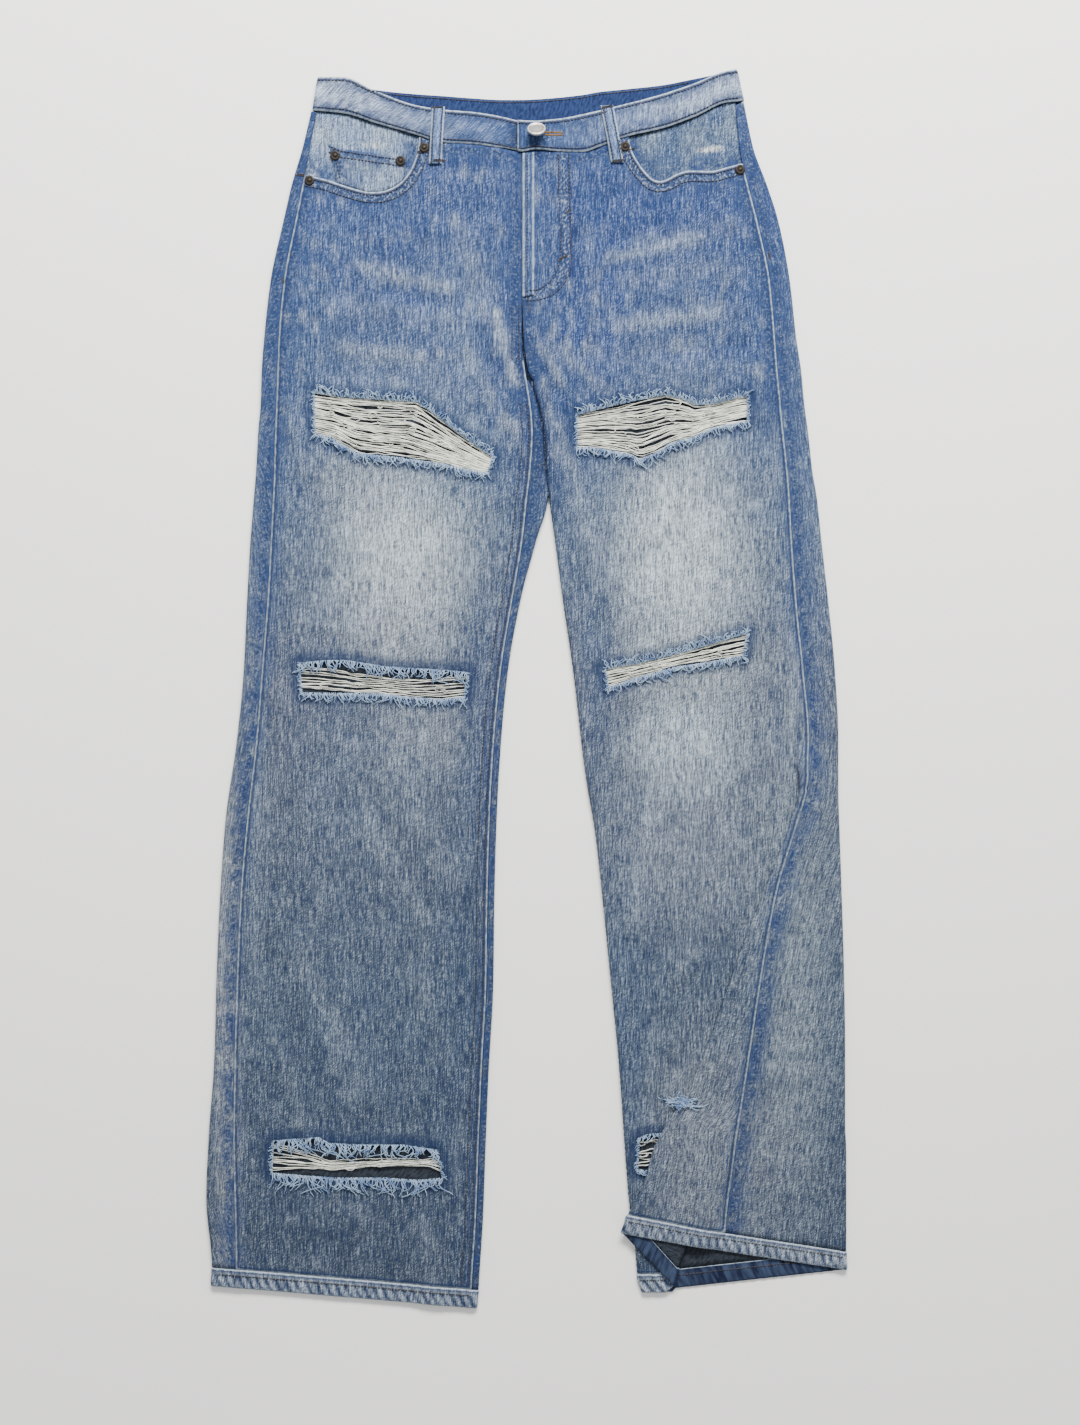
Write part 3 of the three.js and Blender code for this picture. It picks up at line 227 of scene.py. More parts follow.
def curve(rows, column=1):
    rows = sorted(rows)
    keys = np.array([row[0] for row in rows], float)
    values = np.array([row[column] for row in rows], float)
    slopes = np.diff(values) / np.diff(keys)
    before, after = np.append(slopes[0], slopes), np.append(slopes, slopes[-1])
    total = before + after
    tangent = np.where(before * after > 0, 2 * before * after / np.where(total == 0, 1, total), 0)

    def read(at):
        at = np.clip(np.asarray(at, float), keys[0], keys[-1])
        i = np.clip(np.searchsorted(keys, at, side="right") - 1, 0, len(keys) - 2)
        h = keys[i + 1] - keys[i]
        t = (at - keys[i]) / h
        return (values[i] * (2 * t**3 - 3 * t**2 + 1) + tangent[i] * h * (t**3 - 2 * t**2 + t)
                + values[i + 1] * (3 * t**2 - 2 * t**3) + tangent[i + 1] * h * (t**3 - t**2))

    return read


right_edge, right_seam, right_inner, right_far = (curve(RIGHT_TABLE, column) for column in (1, 2, 3, 4))
loft = curve(LOFT)


def ridges(table, x, y):
    height = np.zeros(np.broadcast(x, y).shape)
    for x1, y1, x2, y2, wide, high in table:
        dx, dy = x2 - x1, y2 - y1
        t = np.clip(((x - x1) * dx + (y - y1) * dy) / (dx * dx + dy * dy), 0, 1)
        away = np.hypot(x - x1 - dx * t, y - y1 - dy * t) / wide
        height += high * np.exp(-away * away)
    return height


def ripples(x, y, size, seed):
    """Smooth unevenness between about -1 and 1, with swells about size across."""
    rng = np.random.default_rng(seed)
    total = np.zeros(np.broadcast(x, y).shape)
    for _ in range(9):
        angle, phase = rng.uniform(0, math.pi), rng.uniform(0, 2 * math.pi)
        rate = 2 * math.pi / (size * rng.uniform(1.1, 2.3))
        total += np.sin((x * math.cos(angle) + y * math.sin(angle)) * rate + phase)
    return total / 4.5


def front_height(side, x, y):
    a, b = (right_edge(y), right_far(y)) if side == "right" else (left_far(y), left_edge(y))
    t = np.clip((x - a) / (b - a), 0, 1)
    still = smooth(0, 0.12, t) * smooth(1, 0.88, t)
    made = loft(y) - SAG * 4 * t * (1 - t) + (ridges(FOLDS, x, y) + 1.5 * ridges(CREASES, x, y)) * still
    return made + 0.35 * ripples(x, y, 34, 5) * still + 0.20 * ripples(x, y, 12, 8) * smooth(120, 420, y)


def back_lift(x, y):
    pocket = (smooth(200, 225, y) * smooth(455, 430, y)
              * smooth(2, 16, np.abs(x)) * smooth(222, 200, np.abs(x)))
    return BACK_LIFT * np.maximum(smooth(425, 455, y), pocket)


def hem_slant(x, y):
    share = np.clip((HEM_SLANT_START - y) / (HEM_SLANT_START - HEM_SLANT_END), 0, 1)
    return HEM_SLANT * share * np.clip((x - right_edge(y)) / (right_far(y) - right_edge(y)), 0, 1)


def half_circle(lip, low, high, way, share):
    """Cloth going round an outline from the low side to the high side, as share goes from 0 to 1."""
    radius = (high - low) / 2
    angle = math.pi * share
    return lip + way * np.sin(angle) * radius, low + radius - np.cos(angle) * radius


def stations(*counts):
    """Places along a path in stretches of one unit, each with its own number of points."""
    return np.unique(np.concatenate([np.linspace(k, k + 1, count) for k, count in enumerate(counts)]))


def right_back_place(station, y, cloth, floor, height):
    """Middle of the cloth at a station round the leg: 0 to 1 inseam strip, 1 to 2 round the inseam,
    2 to 3 underneath, 3 to 4 round the outseam, 4 to 5 the strip on top up to the side seam."""
    edge, far, inner = right_edge(y), right_far(y), right_inner(y)
    high_in, high_out = height(far - 3, y), height(edge + 3, y)
    lip_in = far - (high_in - floor) / 2 - cloth / 2
    lip_out = edge + (high_out - floor) / 2 + cloth / 2
    end = np.maximum(right_seam(y), lip_out + 0.6)
    lift = (lambda x: back_lift(x, y)) if cloth == CLOTH else (lambda x: 0)
    strip_x = mix(np.minimum(inner, lip_in - 0.6), lip_in, station)
    strip_z = mix(height(strip_x, y), high_in, smooth(0, 1, station))
    in_x, in_z = half_circle(lip_in, floor, high_in, 1, 2 - station)
    under_x = mix(lip_in, lip_out, station - 2)
    under_z = floor + lift(under_x)
    out_x, out_z = half_circle(lip_out, floor + lift(lip_out), high_out, -1, station - 3)
    top_x = mix(lip_out, end, station - 4)
    top_z = mix(high_out, height(top_x, y), smooth(0, 1, station - 4))
    flat_x = mix(CENTRE_BACK - SEAM_GAP / 2, lip_in, station / 2)
    round_share = smooth(CROTCH_FLAT, CROTCH_ROUND, y)
    in_x = np.where(station < 1, strip_x, in_x)
    in_z = np.where(station < 1, strip_z, in_z)
    in_x, in_z = mix(flat_x, in_x, round_share), mix(floor + lift(flat_x), in_z, round_share)
    x = np.select([station < 2, station < 3, station < 4], [in_x, under_x, out_x], top_x)
    z = np.select([station < 2, station < 3, station < 4], [in_z, under_z, out_z], top_z)
    return np.stack([x, y - hem_slant(x, y), z], -1)


def normals_of(points, faces):
    a, b, c = (points[faces[:, k]] for k in range(3))
    facing = np.cross(b - a, c - a)
    total = np.zeros_like(points)
    for k in range(3):
        np.add.at(total, faces[:, k], facing)
    return total / np.maximum(np.linalg.norm(total, axis=1, keepdims=True), 1e-12)


# How dark the wash left the cloth, down the garment and in patches of its own; some patches are painted
# shadow.
WASH_DOWN = [
    (540, "#2f4064"), (440, "#303f61"), (300, "#364563"), (150, "#404d61"), (0, "#484f5d"),
    (-150, "#434c59"), (-300, "#3c4755"), (-430, "#37414f"), (-545, "#37404d"),
]
WASH_AND_SHADOW_PATCHES = [  # x, y, half width, half length, colour, strength
    (-112, 120, 60, 84, "#8e999f", 1.0), (-122, 50, 42, 45, "#767d84", 0.6),
    (-88, -36, 44, 40, "#6c747d", 0.7), (-70, 210, 44, 44, "#516073", 0.5),
    (-130, -80, 60, 60, "#545f6c", 0.4), (-150, 180, 44, 40, "#727a82", 0.5),
    (134, 118, 60, 105, "#8e999f", 1.0), (140, -50, 52, 50, "#87939b", 0.9),
    (140, -140, 70, 70, "#666e79", 0.6), (150, 20, 60, 30, "#7c8487", 0.5),
    (62, 350, 34, 110, "#24365f", 0.85), (12, 232, 26, 62, "#253557", 0.75),
    (-14, 330, 16, 70, "#2a3b5f", 0.7), (200, 400, 30, 110, "#2c3d61", 0.55),
    (120, 415, 56, 22, "#25365f", 0.6), (-175, 400, 34, 50, "#354669", 0.5),
    (-90, 420, 60, 20, "#2e3f64", 0.55), (-196, 300, 24, 60, "#40516a", 0.4),
    (-44, -20, 18, 120, "#344158", 0.6), (60, 40, 16, 120, "#37455b", 0.55),
    (-60, -300, 26, 200, "#313e51", 0.5), (232, -250, 40, 230, "#626c75", 0.75),
    (160, -400, 60, 100, "#626972", 0.8), (244, 150, 22, 200, "#525f73", 0.4),
    (-170, -60, 26, 150, "#455061", 0.4), (-140, -300, 50, 80, "#414d5e", 0.4),
    (-266, -300, 12, 240, "#7c8286", 0.85), (-240, 0, 10, 240, "#646f7d", 0.5),
    (84, -300, 26, 160, "#3f4c60", 0.5), (-230, 200, 14, 160, "#30405f", 0.4),
    # The near-black patches at 11, 214 and -4, 292 are painted shadow, in the fold where the legs meet below
    # the fly.
    (36, 400, 7, 56, "#1e2c51", 0.6), (26, 308, 16, 9, "#1e2c51", 0.6), (11, 214, 7, 36, "#0d1325", 0.9),
    (-4, 292, 8, 20, "#131c32", 0.6), (-60, 330, 26, 60, "#505f76", 0.4),
    (-120, 250, 60, 40, "#48576e", 0.45), (120, 260, 50, 44, "#43516a", 0.4),
]
# Pale worn lines across the hips, and on the ridges of folds pale lines that are wear and painted highlight:
# from x, y to x, y, half width, strength.
WHISKERS_AND_RIDGE_HIGHLIGHTS = [
    (-165, 336, -62, 322, 11, 0.09), (-150, 296, -50, 276, 10, 0.10), (-170, 270, -80, 262, 10, 0.07),
    (-130, 366, -50, 350, 8, 0.06), (74, 356, 182, 372, 10, 0.10), (64, 322, 180, 334, 9, 0.09),
    (60, 290, 150, 300, 10, 0.10), (96, 392, 188, 408, 8, 0.09), (-196, 80, -150, 40, 9, 0.09),
    (-118, -70, -62, -165, 10, 0.11), (-196, -235, -150, -350, 12, 0.10), (120, -60, 92, -200, 12, 0.11),
    (235, 20, 226, -70, 7, 0.15), (-28, 330, -12, 268, 5, 0.19), (24, 300, 70, 262, 6, 0.19),
    (30, 210, 60, 120, 8, 0.15), (-92, -470, -84, -520, 7, 0.15), (-64, 408, -20, 300, 8, 0.11),
    (-52, 300, -14, 215, 7, 0.12), (52, 402, 58, 300, 6, 0.11), (14, 268, 24, 200, 4, 0.22),
]


def crease_wear_and_shade(x, y):
    """Pale on the ridges of the creases, where the cloth is worn and a painted highlight falls, and painted
    shade in the troughs beside them; towards the waist small crumples get painted light and shade.
    """
    crumple_light_and_shade = ripples(x, y, 13, 35) * ripples(x, y, 50, 36)
    near_waist = smooth(150, 340, y)
    # Signed: above nought the crease ridges are paled by wear and painted highlight, below it the troughs get
    # painted shade.
    wear = (0.12 + 0.30 * near_waist) * ridges(CREASES, x, y)
    return np.clip(wear + (0.05 + 0.20 * near_waist) * crumple_light_and_shade, -0.6, 0.3)


# Whisker pale is wear, and painted highlight where whiskers lie on fold ridges; crease pale is wear and
# painted highlight; crease dark is painted shade in the crease troughs.
WHISKER_AND_HIGHLIGHT_PALE, CREASE_WEAR_AND_HIGHLIGHT, CREASE_SHADE = "#8f9aa6", "#96a1ab", "#253969"


def wash_and_shade(x, y):
    """The cloth's colour at a place on the garment, as a linear colour: the wash's own tone, with painted
    shade at the crotch and in the crease troughs and painted highlight on the fold ridges.
    """
    heights = np.array([row[0] for row in WASH_DOWN][::-1], float)
    colours = np.array([dye_of(row[1]) for row in WASH_DOWN][::-1])
    made = np.stack([np.interp(y, heights, colours[:, k]) for k in range(3)], -1)
    for px, py, wide, long, colour, strength in WASH_AND_SHADOW_PATCHES:
        wander = 1 + 0.22 * ripples(x, y, 44, 21)
        share = strength * np.exp(-(((x - px) / wide) ** 2 + ((y - py) / long) ** 2) ** 1.3 * wander)
        made = mix(made, dye_of(colour), share[..., None])
    # Pale worn whiskers; where they lie on fold ridges they are painted highlight too.
    for x1, y1, x2, y2, wide, strength in WHISKERS_AND_RIDGE_HIGHLIGHTS:
        share = ridges([(x1, y1, x2, y2, wide, strength)], x, y) * (1 + 0.5 * ripples(x, y, 16, 37))
        made = mix(made, dye_of(WHISKER_AND_HIGHLIGHT_PALE), np.clip(share, 0, 1)[..., None])
    # Painted light and shade of the creases: paler on their ridges, darker in their troughs.
    tone = crease_wear_and_shade(x, y)[..., None]
    made = mix(made, dye_of(CREASE_WEAR_AND_HIGHLIGHT), np.clip(tone, 0, 1))
    made = mix(made, dye_of(CREASE_SHADE), np.clip(-tone, 0, 1))
    return made * (1 + 0.09 * ripples(x, y, 30, 33) + 0.09 * ripples(x, y, 9, 34))[..., None]


# Distances to a sewn edge, a rubbed ridge, a rip, and across the middle of a double row of stitches.
MARKS = ("seam_mm", "ridge_mm", "rip_mm", "rows_mm")


def cloth_wall(name, flat, faces, middle, thickness, finishes, marks=None, tint=None):
    """A closed wall of cloth. flat holds each point's place in the uncut cloth, middle its place in the
    garment, both in millimetres; finishes are for the outside, the inside and the cut edge."""
    count = len(middle)
    out = normals_of(middle, faces) * np.broadcast_to(thickness, count)[:, None] / 2
    points = np.concatenate([middle + out, middle - out])
    edges = {}
    for a, b in np.concatenate([faces[:, [0, 1]], faces[:, [1, 2]], faces[:, [2, 0]]]).tolist():
        edges[(a, b)] = True
    rim = [(b, a, a + count, b + count) for a, b in edges if (b, a) not in edges]
    every = faces.tolist() + (faces[:, ::-1] + count).tolist() + rim
    mesh = bpy.data.meshes.new(name)
    mesh.from_pydata(world(points).tolist(), [], every)
    for finish in finishes:
        mesh.materials.append(finish)
    kind = np.repeat([0, 1, 2], [len(faces), len(faces), len(rim)]).astype(np.int32)
    mesh.polygons.foreach_set("material_index", kind)
    mesh.polygons.foreach_set("use_smooth", np.ones(len(every), bool))
    corner = np.empty(len(mesh.loops), np.int32)
    mesh.loops.foreach_get("vertex_index", corner)
    mesh.uv_layers.new(name="cloth").data.foreach_set("uv", (flat[corner % count] / 1000).ravel())
    colour = wash_and_shade(middle[:, 0], middle[:, 1]) if tint is None else tint
    # The colour of the cloth at each point, with its painted light and shade.
    layer = mesh.attributes.new("dye_and_shade", "FLOAT_COLOR", "POINT")
    layer.data.foreach_set("color", np.tile(np.c_[colour, np.ones(count)], (2, 1)).ravel())
    for mark, values in {**{mark: np.full(count, 60.0) for mark in MARKS}, **(marks or {})}.items():
        mesh.attributes.new(mark, "FLOAT", "POINT").data.foreach_set("value", np.tile(values, 2))
    return placed(name, mesh)


def grid_faces(rows, columns, ring=False):
    i, j = np.meshgrid(np.arange(rows - 1), np.arange(columns if ring else columns - 1), indexing="ij")
    here, across = (i * columns + j).ravel(), (i * columns + (j + 1) % columns).ravel()
    quads = np.stack([here, here + columns, across + columns, across], 1)
    return np.concatenate([quads[:, [0, 1, 2]], quads[:, [0, 2, 3]]])


def run_length(places):
    steps = np.linalg.norm(np.diff(places, axis=1), axis=2)
    return np.concatenate([np.zeros((len(places), 1)), np.cumsum(steps, axis=1)], axis=1)


def dress(piece, slot, *nodes):
    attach(piece, "root")
    if nodes:
        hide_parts(*nodes)


def streaks(tree, place, wide, long, turn, detail=2.0):
    """Noise drawn out into streaks of a width and length in millimetres, turned from the warp."""
    laid = add(tree, "ShaderNodeMapping", {"Vector": place, "Rotation": (0, 0, turn)})
    fitted = add(tree, "ShaderNodeMapping", {"Vector": laid.outputs["Vector"],
                                             "Scale": (1000 / wide, 1000 / long, 1.0)})
    return add(tree, "ShaderNodeTexNoise", {"Vector": fitted.outputs["Vector"], "Scale": 1.0,
                                            "Detail": detail, "Roughness": 0.6}).outputs["Fac"]


def band(tree, value, low, high, start=0.0, end=1.0):
    return add(tree, "ShaderNodeMapRange", {"Value": value, "From Min": low, "From Max": high,
                                            "To Min": start, "To Max": end}).outputs["Result"]


def product(tree, a, b):
    return add(tree, "ShaderNodeMath", {0: a, 1: b}, operation="MULTIPLY").outputs["Value"]


def mark_value(tree, name):
    return add(tree, "ShaderNodeAttribute", attribute_name=name).outputs["Fac"]


def finished(tree, tone, height, strength, depth, **settings):
    """Ends a material with its relief and its surface."""
    bump = add(tree, "ShaderNodeBump", {"Height": height, "Strength": strength, "Distance": depth})
    given = {"Base Color": tone, "Normal": bump.outputs["Normal"],
             **{name.replace("_", " "): value for name, value in settings.items()}}
    shader = add(tree, "ShaderNodeBsdfPrincipled", given)
    add(tree, "ShaderNodeOutputMaterial", {"Surface": shader.outputs["BSDF"]})


def toward(tree, base, share, colour):
    blend = add(tree, "ShaderNodeMix", {"Factor": share}, data_type="RGBA")
    for socket, value in ((6, base), (7, colour)):
        if isinstance(value, bpy.types.NodeSocket):
            tree.links.new(value, blend.inputs[socket])
        else:
            blend.inputs[socket].default_value = value
    return blend.outputs[2]


def washed_denim(name, wear="#9da9b4", groove_dye_and_shade="#1d2c4b"):
    # Cotton twill, indigo warp over white weft, stone washed: the indigo is scraped off in fine streaks along
    # the warp, the twill runs up to the right, and every seam is rubbed pale on its ridge and stays dark
    # beside it, with a thin painted shadow line right beside the ridge; round each rip the fringe gets a
    # painted shadow. The twill is drawn about twice its real half millimetre, so that it shows.
    material, tree = blank_material(name)
    place = add(tree, "ShaderNodeUVMap", uv_map="cloth").outputs["UV"]
    dye_and_shade = add(tree, "ShaderNodeAttribute", attribute_name="dye_and_shade").outputs["Color"]
    warp = streaks(tree, place, 0.8, 12, 0)
    slub = streaks(tree, place, 2.4, 70, 0)
    twill = streaks(tree, place, 0.8, 4.0, math.radians(42))
    speck = streaks(tree, place, 0.7, 1.0, 0, detail=1.0)
    cloud = streaks(tree, place, 18, 26, 0.3, detail=4.0)
    grain = 1.0
    for pattern, low, high, dark, light in (
        (warp, 0.40, 0.60, 0.55, 1.50), (slub, 0.38, 0.62, 0.84, 1.16), (twill, 0.40, 0.60, 0.64, 1.38),
        (speck, 0.38, 0.62, 0.70, 1.30), (cloud, 0.35, 0.65, 0.90, 1.10),
    ):
        grain = product(tree, band(tree, pattern, low, high, dark, light), grain)
    tone = add(tree, "ShaderNodeVectorMath", {0: dye_and_shade, "Scale": grain}, operation="SCALE").outputs["Vector"]
    tone = toward(tree, tone, band(tree, grain, 1.3, 2.8, 0.0, 0.45), linear("#acb3b8"))
    tone = toward(tree, tone, band(tree, grain, 0.9, 0.4, 0.0, 0.35), linear("#183265"))
    seam = mark_value(tree, "seam_mm")
    ridge = mark_value(tree, "ridge_mm")
    patchy = streaks(tree, place, 3.0, 4.2, 0.7, detail=3.0)
    ribs = streaks(tree, place, 2.2, 2.2, 0.0, detail=1.0)
    swell = streaks(tree, place, 16, 16, 0.0, detail=2.0)
    around = product(tree, band(tree, seam, 22.0, 3.0), band(tree, swell, 0.36, 0.58, 0.1, 0.85))
    near = product(tree, band(tree, seam, 1.2, 3.0), band(tree, seam, 13.0, 6.0))
    pucker = product(tree, near, band(tree, patchy, 0.58, 0.42, 0.0, 0.8))
    rubbed = product(tree, near, band(tree, ribs, 0.54, 0.70, 0.0, 0.2))
    line = product(tree, band(tree, ridge, 1.7, 0.6), band(tree, patchy, 0.34, 0.56, 0.3, 0.9))
    # Painted shadow: a thin dark line just beside each rubbed ridge, in the groove colour.
    shade = product(tree, band(tree, ridge, 1.3, 2.0), band(tree, ridge, 4.0, 2.4, 0.0, 0.75))
    for share, colour in ((around, "#23355c"), (pucker, groove_dye_and_shade), (rubbed, wear), (shade, groove_dye_and_shade),
                          (line, wear)):
        tone = toward(tree, tone, share, linear(colour))
    rows = mark_value(tree, "rows_mm")
    off = add(tree, "ShaderNodeMath", {0: rows}, operation="ABSOLUTE").outputs["Value"]
    rungs = streaks(tree, place, 1.6, 3.0, 0.3, detail=1.0)
    hollow = product(tree, band(tree, off, 5.4, 3.4), band(tree, rungs, 0.56, 0.42, 0.08, 0.42))
    rung = product(tree, band(tree, off, 3.4, 2.6), band(tree, rungs, 0.52, 0.66, 0.0, 0.42))
    tone = toward(tree, tone, hollow, linear(groove_dye_and_shade))
    tone = toward(tree, tone, rung, linear(wear))
    rip = mark_value(tree, "rip_mm")
    # Painted shadow of the fringe, darkening the cloth up to 12 mm from each rip.
    shadow_under_fringe = product(tree, band(tree, rip, 12.0, 5.0, 0.0, 0.72),
                           band(tree, patchy, 0.3, 0.5, 0.55, 1.0))
    frayed = product(tree, band(tree, rip, 1.6, 0.4, 0.0, 0.8), band(tree, patchy, 0.35, 0.6, 0.5, 1.0))
    tone = toward(tree, tone, shadow_under_fringe, linear("#1a2946"))
    tone = toward(tree, tone, frayed, linear("#8ea4bb"))
    rise = add(tree, "ShaderNodeMath", {0: warp, 1: twill}, operation="ADD").outputs["Value"]
    finished(tree, tone, rise, 0.6, 0.0005, Roughness=0.9, Specular_IOR_Level=0.12)
    return material


def twill_wrong_side(name, weft, indigo, wide=1.5, long=6.0, turn=-0.73):
    # The inside of the cloth shows mostly undyed weft, greyed by the wash, with flecks of indigo warp.
    material, tree = blank_material(name)
    place = add(tree, "ShaderNodeUVMap", uv_map="cloth").outputs["UV"]
    twill = streaks(tree, place, wide, long, turn)
    cloud = streaks(tree, place, 24, 24, 0, detail=3.0)
    share = product(tree, band(tree, twill, 0.38, 0.62), band(tree, cloud, 0.3, 0.7, 0.7, 1.0))
    tone = toward(tree, linear(weft), share, linear(indigo))
    finished(tree, tone, twill, 0.5, 0.0004, Roughness=0.92, Specular_IOR_Level=0.2)
    return material


denim = washed_denim("washed_denim_twill")
# Its colours are far darker than the pale grey of the real inside: painted shade inside the legs, where it
# shows through the rips.
inside_grey_in_shade = twill_wrong_side("denim_inside_weft_in_shade", "#2e343c", "#141821")
cut_edge = twill_wrong_side("denim_cut_edge_fluffed", "#8593a3", "#495f7e")
WALL = (denim, inside_grey_in_shade, cut_edge)

WAIST = [  # x: front seam, front top, back seam, back top
    (-190, 508, 538, 508, 538), (-162, 505.5, 537.5, 502, 535.5), (-136, 497.5, 526, 494.5, 527.5),
    (-98, 486.5, 512.5, 489.5, 523.5), (-76, 480, 509, 488, 522), (-50, 478.5, 507, 486, 520),
    (-22, 474.5, 502.5, 485, 518.5), (-6, 471.5, 499, 485, 518.5), (6, 473.5, 498.5, 485, 519),
    (26, 472, 500.5, 486.5, 520.5), (48, 471.5, 505, 488.5, 523), (62, 476, 508, 491.5, 525.5),
    (86, 485, 514, 494, 528), (118, 492.5, 522.5, 498, 531.5), (146, 502.5, 532, 504, 537),
    (174, 515, 543, 511, 542.5), (190, 516.5, 545.5, 516.5, 545.5),
]
waist_seam, waist_top, back_seam, back_top = (curve(WAIST, column) for column in (1, 2, 3, 4))
YOKE = [(-190, 499), (-120, 462), (-60, 436), (-1, 426), (60, 437), (120, 466), (188, 504)]
RIGHT_PANEL_END = -509.7
BACK_STEP = 5.0


def yoke_line(x):
    return np.interp(x, [row[0] for row in YOKE], [row[1] for row in YOKE])


def meet(place, station, line):
    """The rows at which a line across the garment crosses each line of stations."""
    y = np.full(len(station), 480.0)
    for _ in range(8):
        y = line(place(station, y)[:, 0])
    return y


def back_piece(node, place, station, low, high):
    rows = int((high - low).max() / BACK_STEP) + 2
    y = mix(high, low, np.linspace(0, 1, rows)[:, None])
    middle = place(np.broadcast_to(station, y.shape), y)
    ends = run_length(middle)
    flat = np.stack([ends, y], -1).reshape(-1, 2)
    faces = grid_faces(rows, len(station))
    seam = np.minimum(ends, ends[:, -1:] - ends).ravel()
    seam = np.minimum(seam, np.minimum(high[None] - y, 60).ravel())
    piece = cloth_wall(f"cloth_{node}", flat, faces, middle.reshape(-1, 3), CLOTH, WALL, {"seam_mm": seam})
    dress(piece, "denim", node)


def back_and_yoke(side, place, station, end):
    foot = meet(place, station, lambda x: yoke_line(x) + SEAM_GAP / 2)
    head = meet(place, station, lambda x: back_seam(x) - 3 * SEAM_GAP)
    back_piece(f"back_{side}", place, station, np.full(len(station), end), foot - SEAM_GAP)
    back_piece(f"yoke_{side}", place, station, np.minimum(foot, head - 1), head)


def right_back(station, y):
    return right_back_place(station, y, CLOTH, CLOTH / 2, lambda x, at: front_height("right", x, at))


back_and_yoke("right", right_back, stations(3, 8, 48, 8, 6), RIGHT_PANEL_END)

# Left back panel and yoke
# The same cut on the other side. Below the knee the leg is tucked over on itself, so this panel comes
# further round on to the top, and its side seam shows in the middle of the flap.
LEFT_TABLE = [  # y, inseam outline, wrap under it, crease, flap, side seam, outseam outline
    (516, -5.7, 12, 170, 176, 182, 190), (474, -5.7, 12, 174, 180, 186, 199),
    (447, -5.7, 12, 180, 186, 192, 209), (412, -5.7, 12, 189, 195, 201, 220),
    (360, -5.7, 12, 200, 206, 212, 230), (307, -4, 12, 205, 211, 217, 236),
    (281, -0.4, 12, 207, 213, 219, 240), (250, 8.5, 12, 210, 216, 222, 243),
    (228, 13, 12, 212, 218, 224, 246), (192, 16, 13, 216, 222, 228, 250), (168, 18, 14, 218, 224, 230, 254),
    (131, 23, 15, 220, 226, 232, 258), (78, 30, 16, 223, 229, 236, 264), (16, 39, 17, 230, 236, 242, 270),
    (-45, 46, 18, 234, 240, 247, 273), (-62, 48, 18, 236, 239, 246, 273), (-76, 50, 18, 240, 238, 246, 273),
    (-89, 52, 19, 243, 238, 245, 273), (-124, 58, 20, 238, 230, 236, 274),
    (-186, 65, 22, 220, 209, 219, 276), (-256, 72, 24, 203, 185, 207, 278),
    (-327, 79, 26, 188, 163, 197, 279), (-397, 84, 27, 171, 138, 187, 279),
    (-425, 86, 27, 160, 121, 183, 280), (-450, 88, 28, 149, 110, 180, 280),
    (-485, 93, 28, 143, 101, 176, 280), (-516, 95.5, 28, 132, 87.5, 173.5, 280),
    (-532, 99, 28, 129, 81.5, 174.5, 281),
]
TUCK_START, TUCK_END = -76, -516
CREASE_RISE, FLAP_RISE, SEAM_RISE, EDGE_RISE = 6, 53, 36, 20
TURN_START, TURN_ROWS = -45, 44  # the cloth turns over between this row and this many rows below it
FOLD_RADIUS = 1.05
TUCK_FLOOR = 3.3
FLAT_BEFORE = [(-45, 6), (-62, 2), (-76, 2), (-89, 2.9)]  # the part between the creases as the tuck opens
START_BEFORE = [(-45, 234), (-62, 234), (-76, 238), (-89, 241.95)]
LEFT_PANEL_END = -515.7
left_far, left_wrap, left_crease, left_flap, left_seam, left_edge = (
    curve(LEFT_TABLE, k) for k in range(1, 7))
flat_before, start_before = curve(FLAT_BEFORE), curve(START_BEFORE)


def tuck_part(y):
    return np.clip((TUCK_START - y) / (TUCK_START - TUCK_END), 0, 1)


def row_at(y, rise):
    share = rise / (TUCK_START - TUCK_END)
    return np.where(y >= TUCK_START, y, (y - share * TUCK_START) / (1 - share))


def lower_height(x, y):
    """The left front's lowest layer, which lies flat where the tuck is on top of it."""
    flap = left_flap(row_at(y, FLAP_RISE))
    under = smooth(flap - 30, flap - 8, x) * smooth(-45, -80, y)
    return mix(front_height("left", x, y), TUCK_FLOOR, under)


def tuck_lines(row):
    """Turn, start, flat part between the creases, and the end of the tuck with its height, on a row."""
    turn = math.pi * np.clip((TURN_START - row) / TURN_ROWS, 0, 1)
    crease, flap = left_crease(row), left_flap(row)
    open_row = row > TURN_START
    full = row < TURN_START - TURN_ROWS
    start = np.select([open_row, full], [crease, crease - FOLD_RADIUS], start_before(row))
    flat = np.select([open_row, full], [flap - crease, crease - flap - 2 * FOLD_RADIUS], flat_before(row))
    low = lower_height(crease - 3, row)
    end = start + 2 * FOLD_RADIUS * np.sin(turn) + flat * np.cos(turn)
    high = low + 2 * FOLD_RADIUS * (1 - np.cos(turn)) + flat * np.sin(turn)
    return turn, start, flat, low, end, high


def top_layer_height(x, y, row, high):
    crease = left_crease(row_at(y, CREASE_RISE))
    down = smooth(crease + 8, np.minimum(crease + 30, left_edge(row) - 4), x)
    closed = mix(high, front_height("left", x, y), down)
    return mix(front_height("left", x, y), closed, smooth(TURN_START, TURN_START - 17, row))


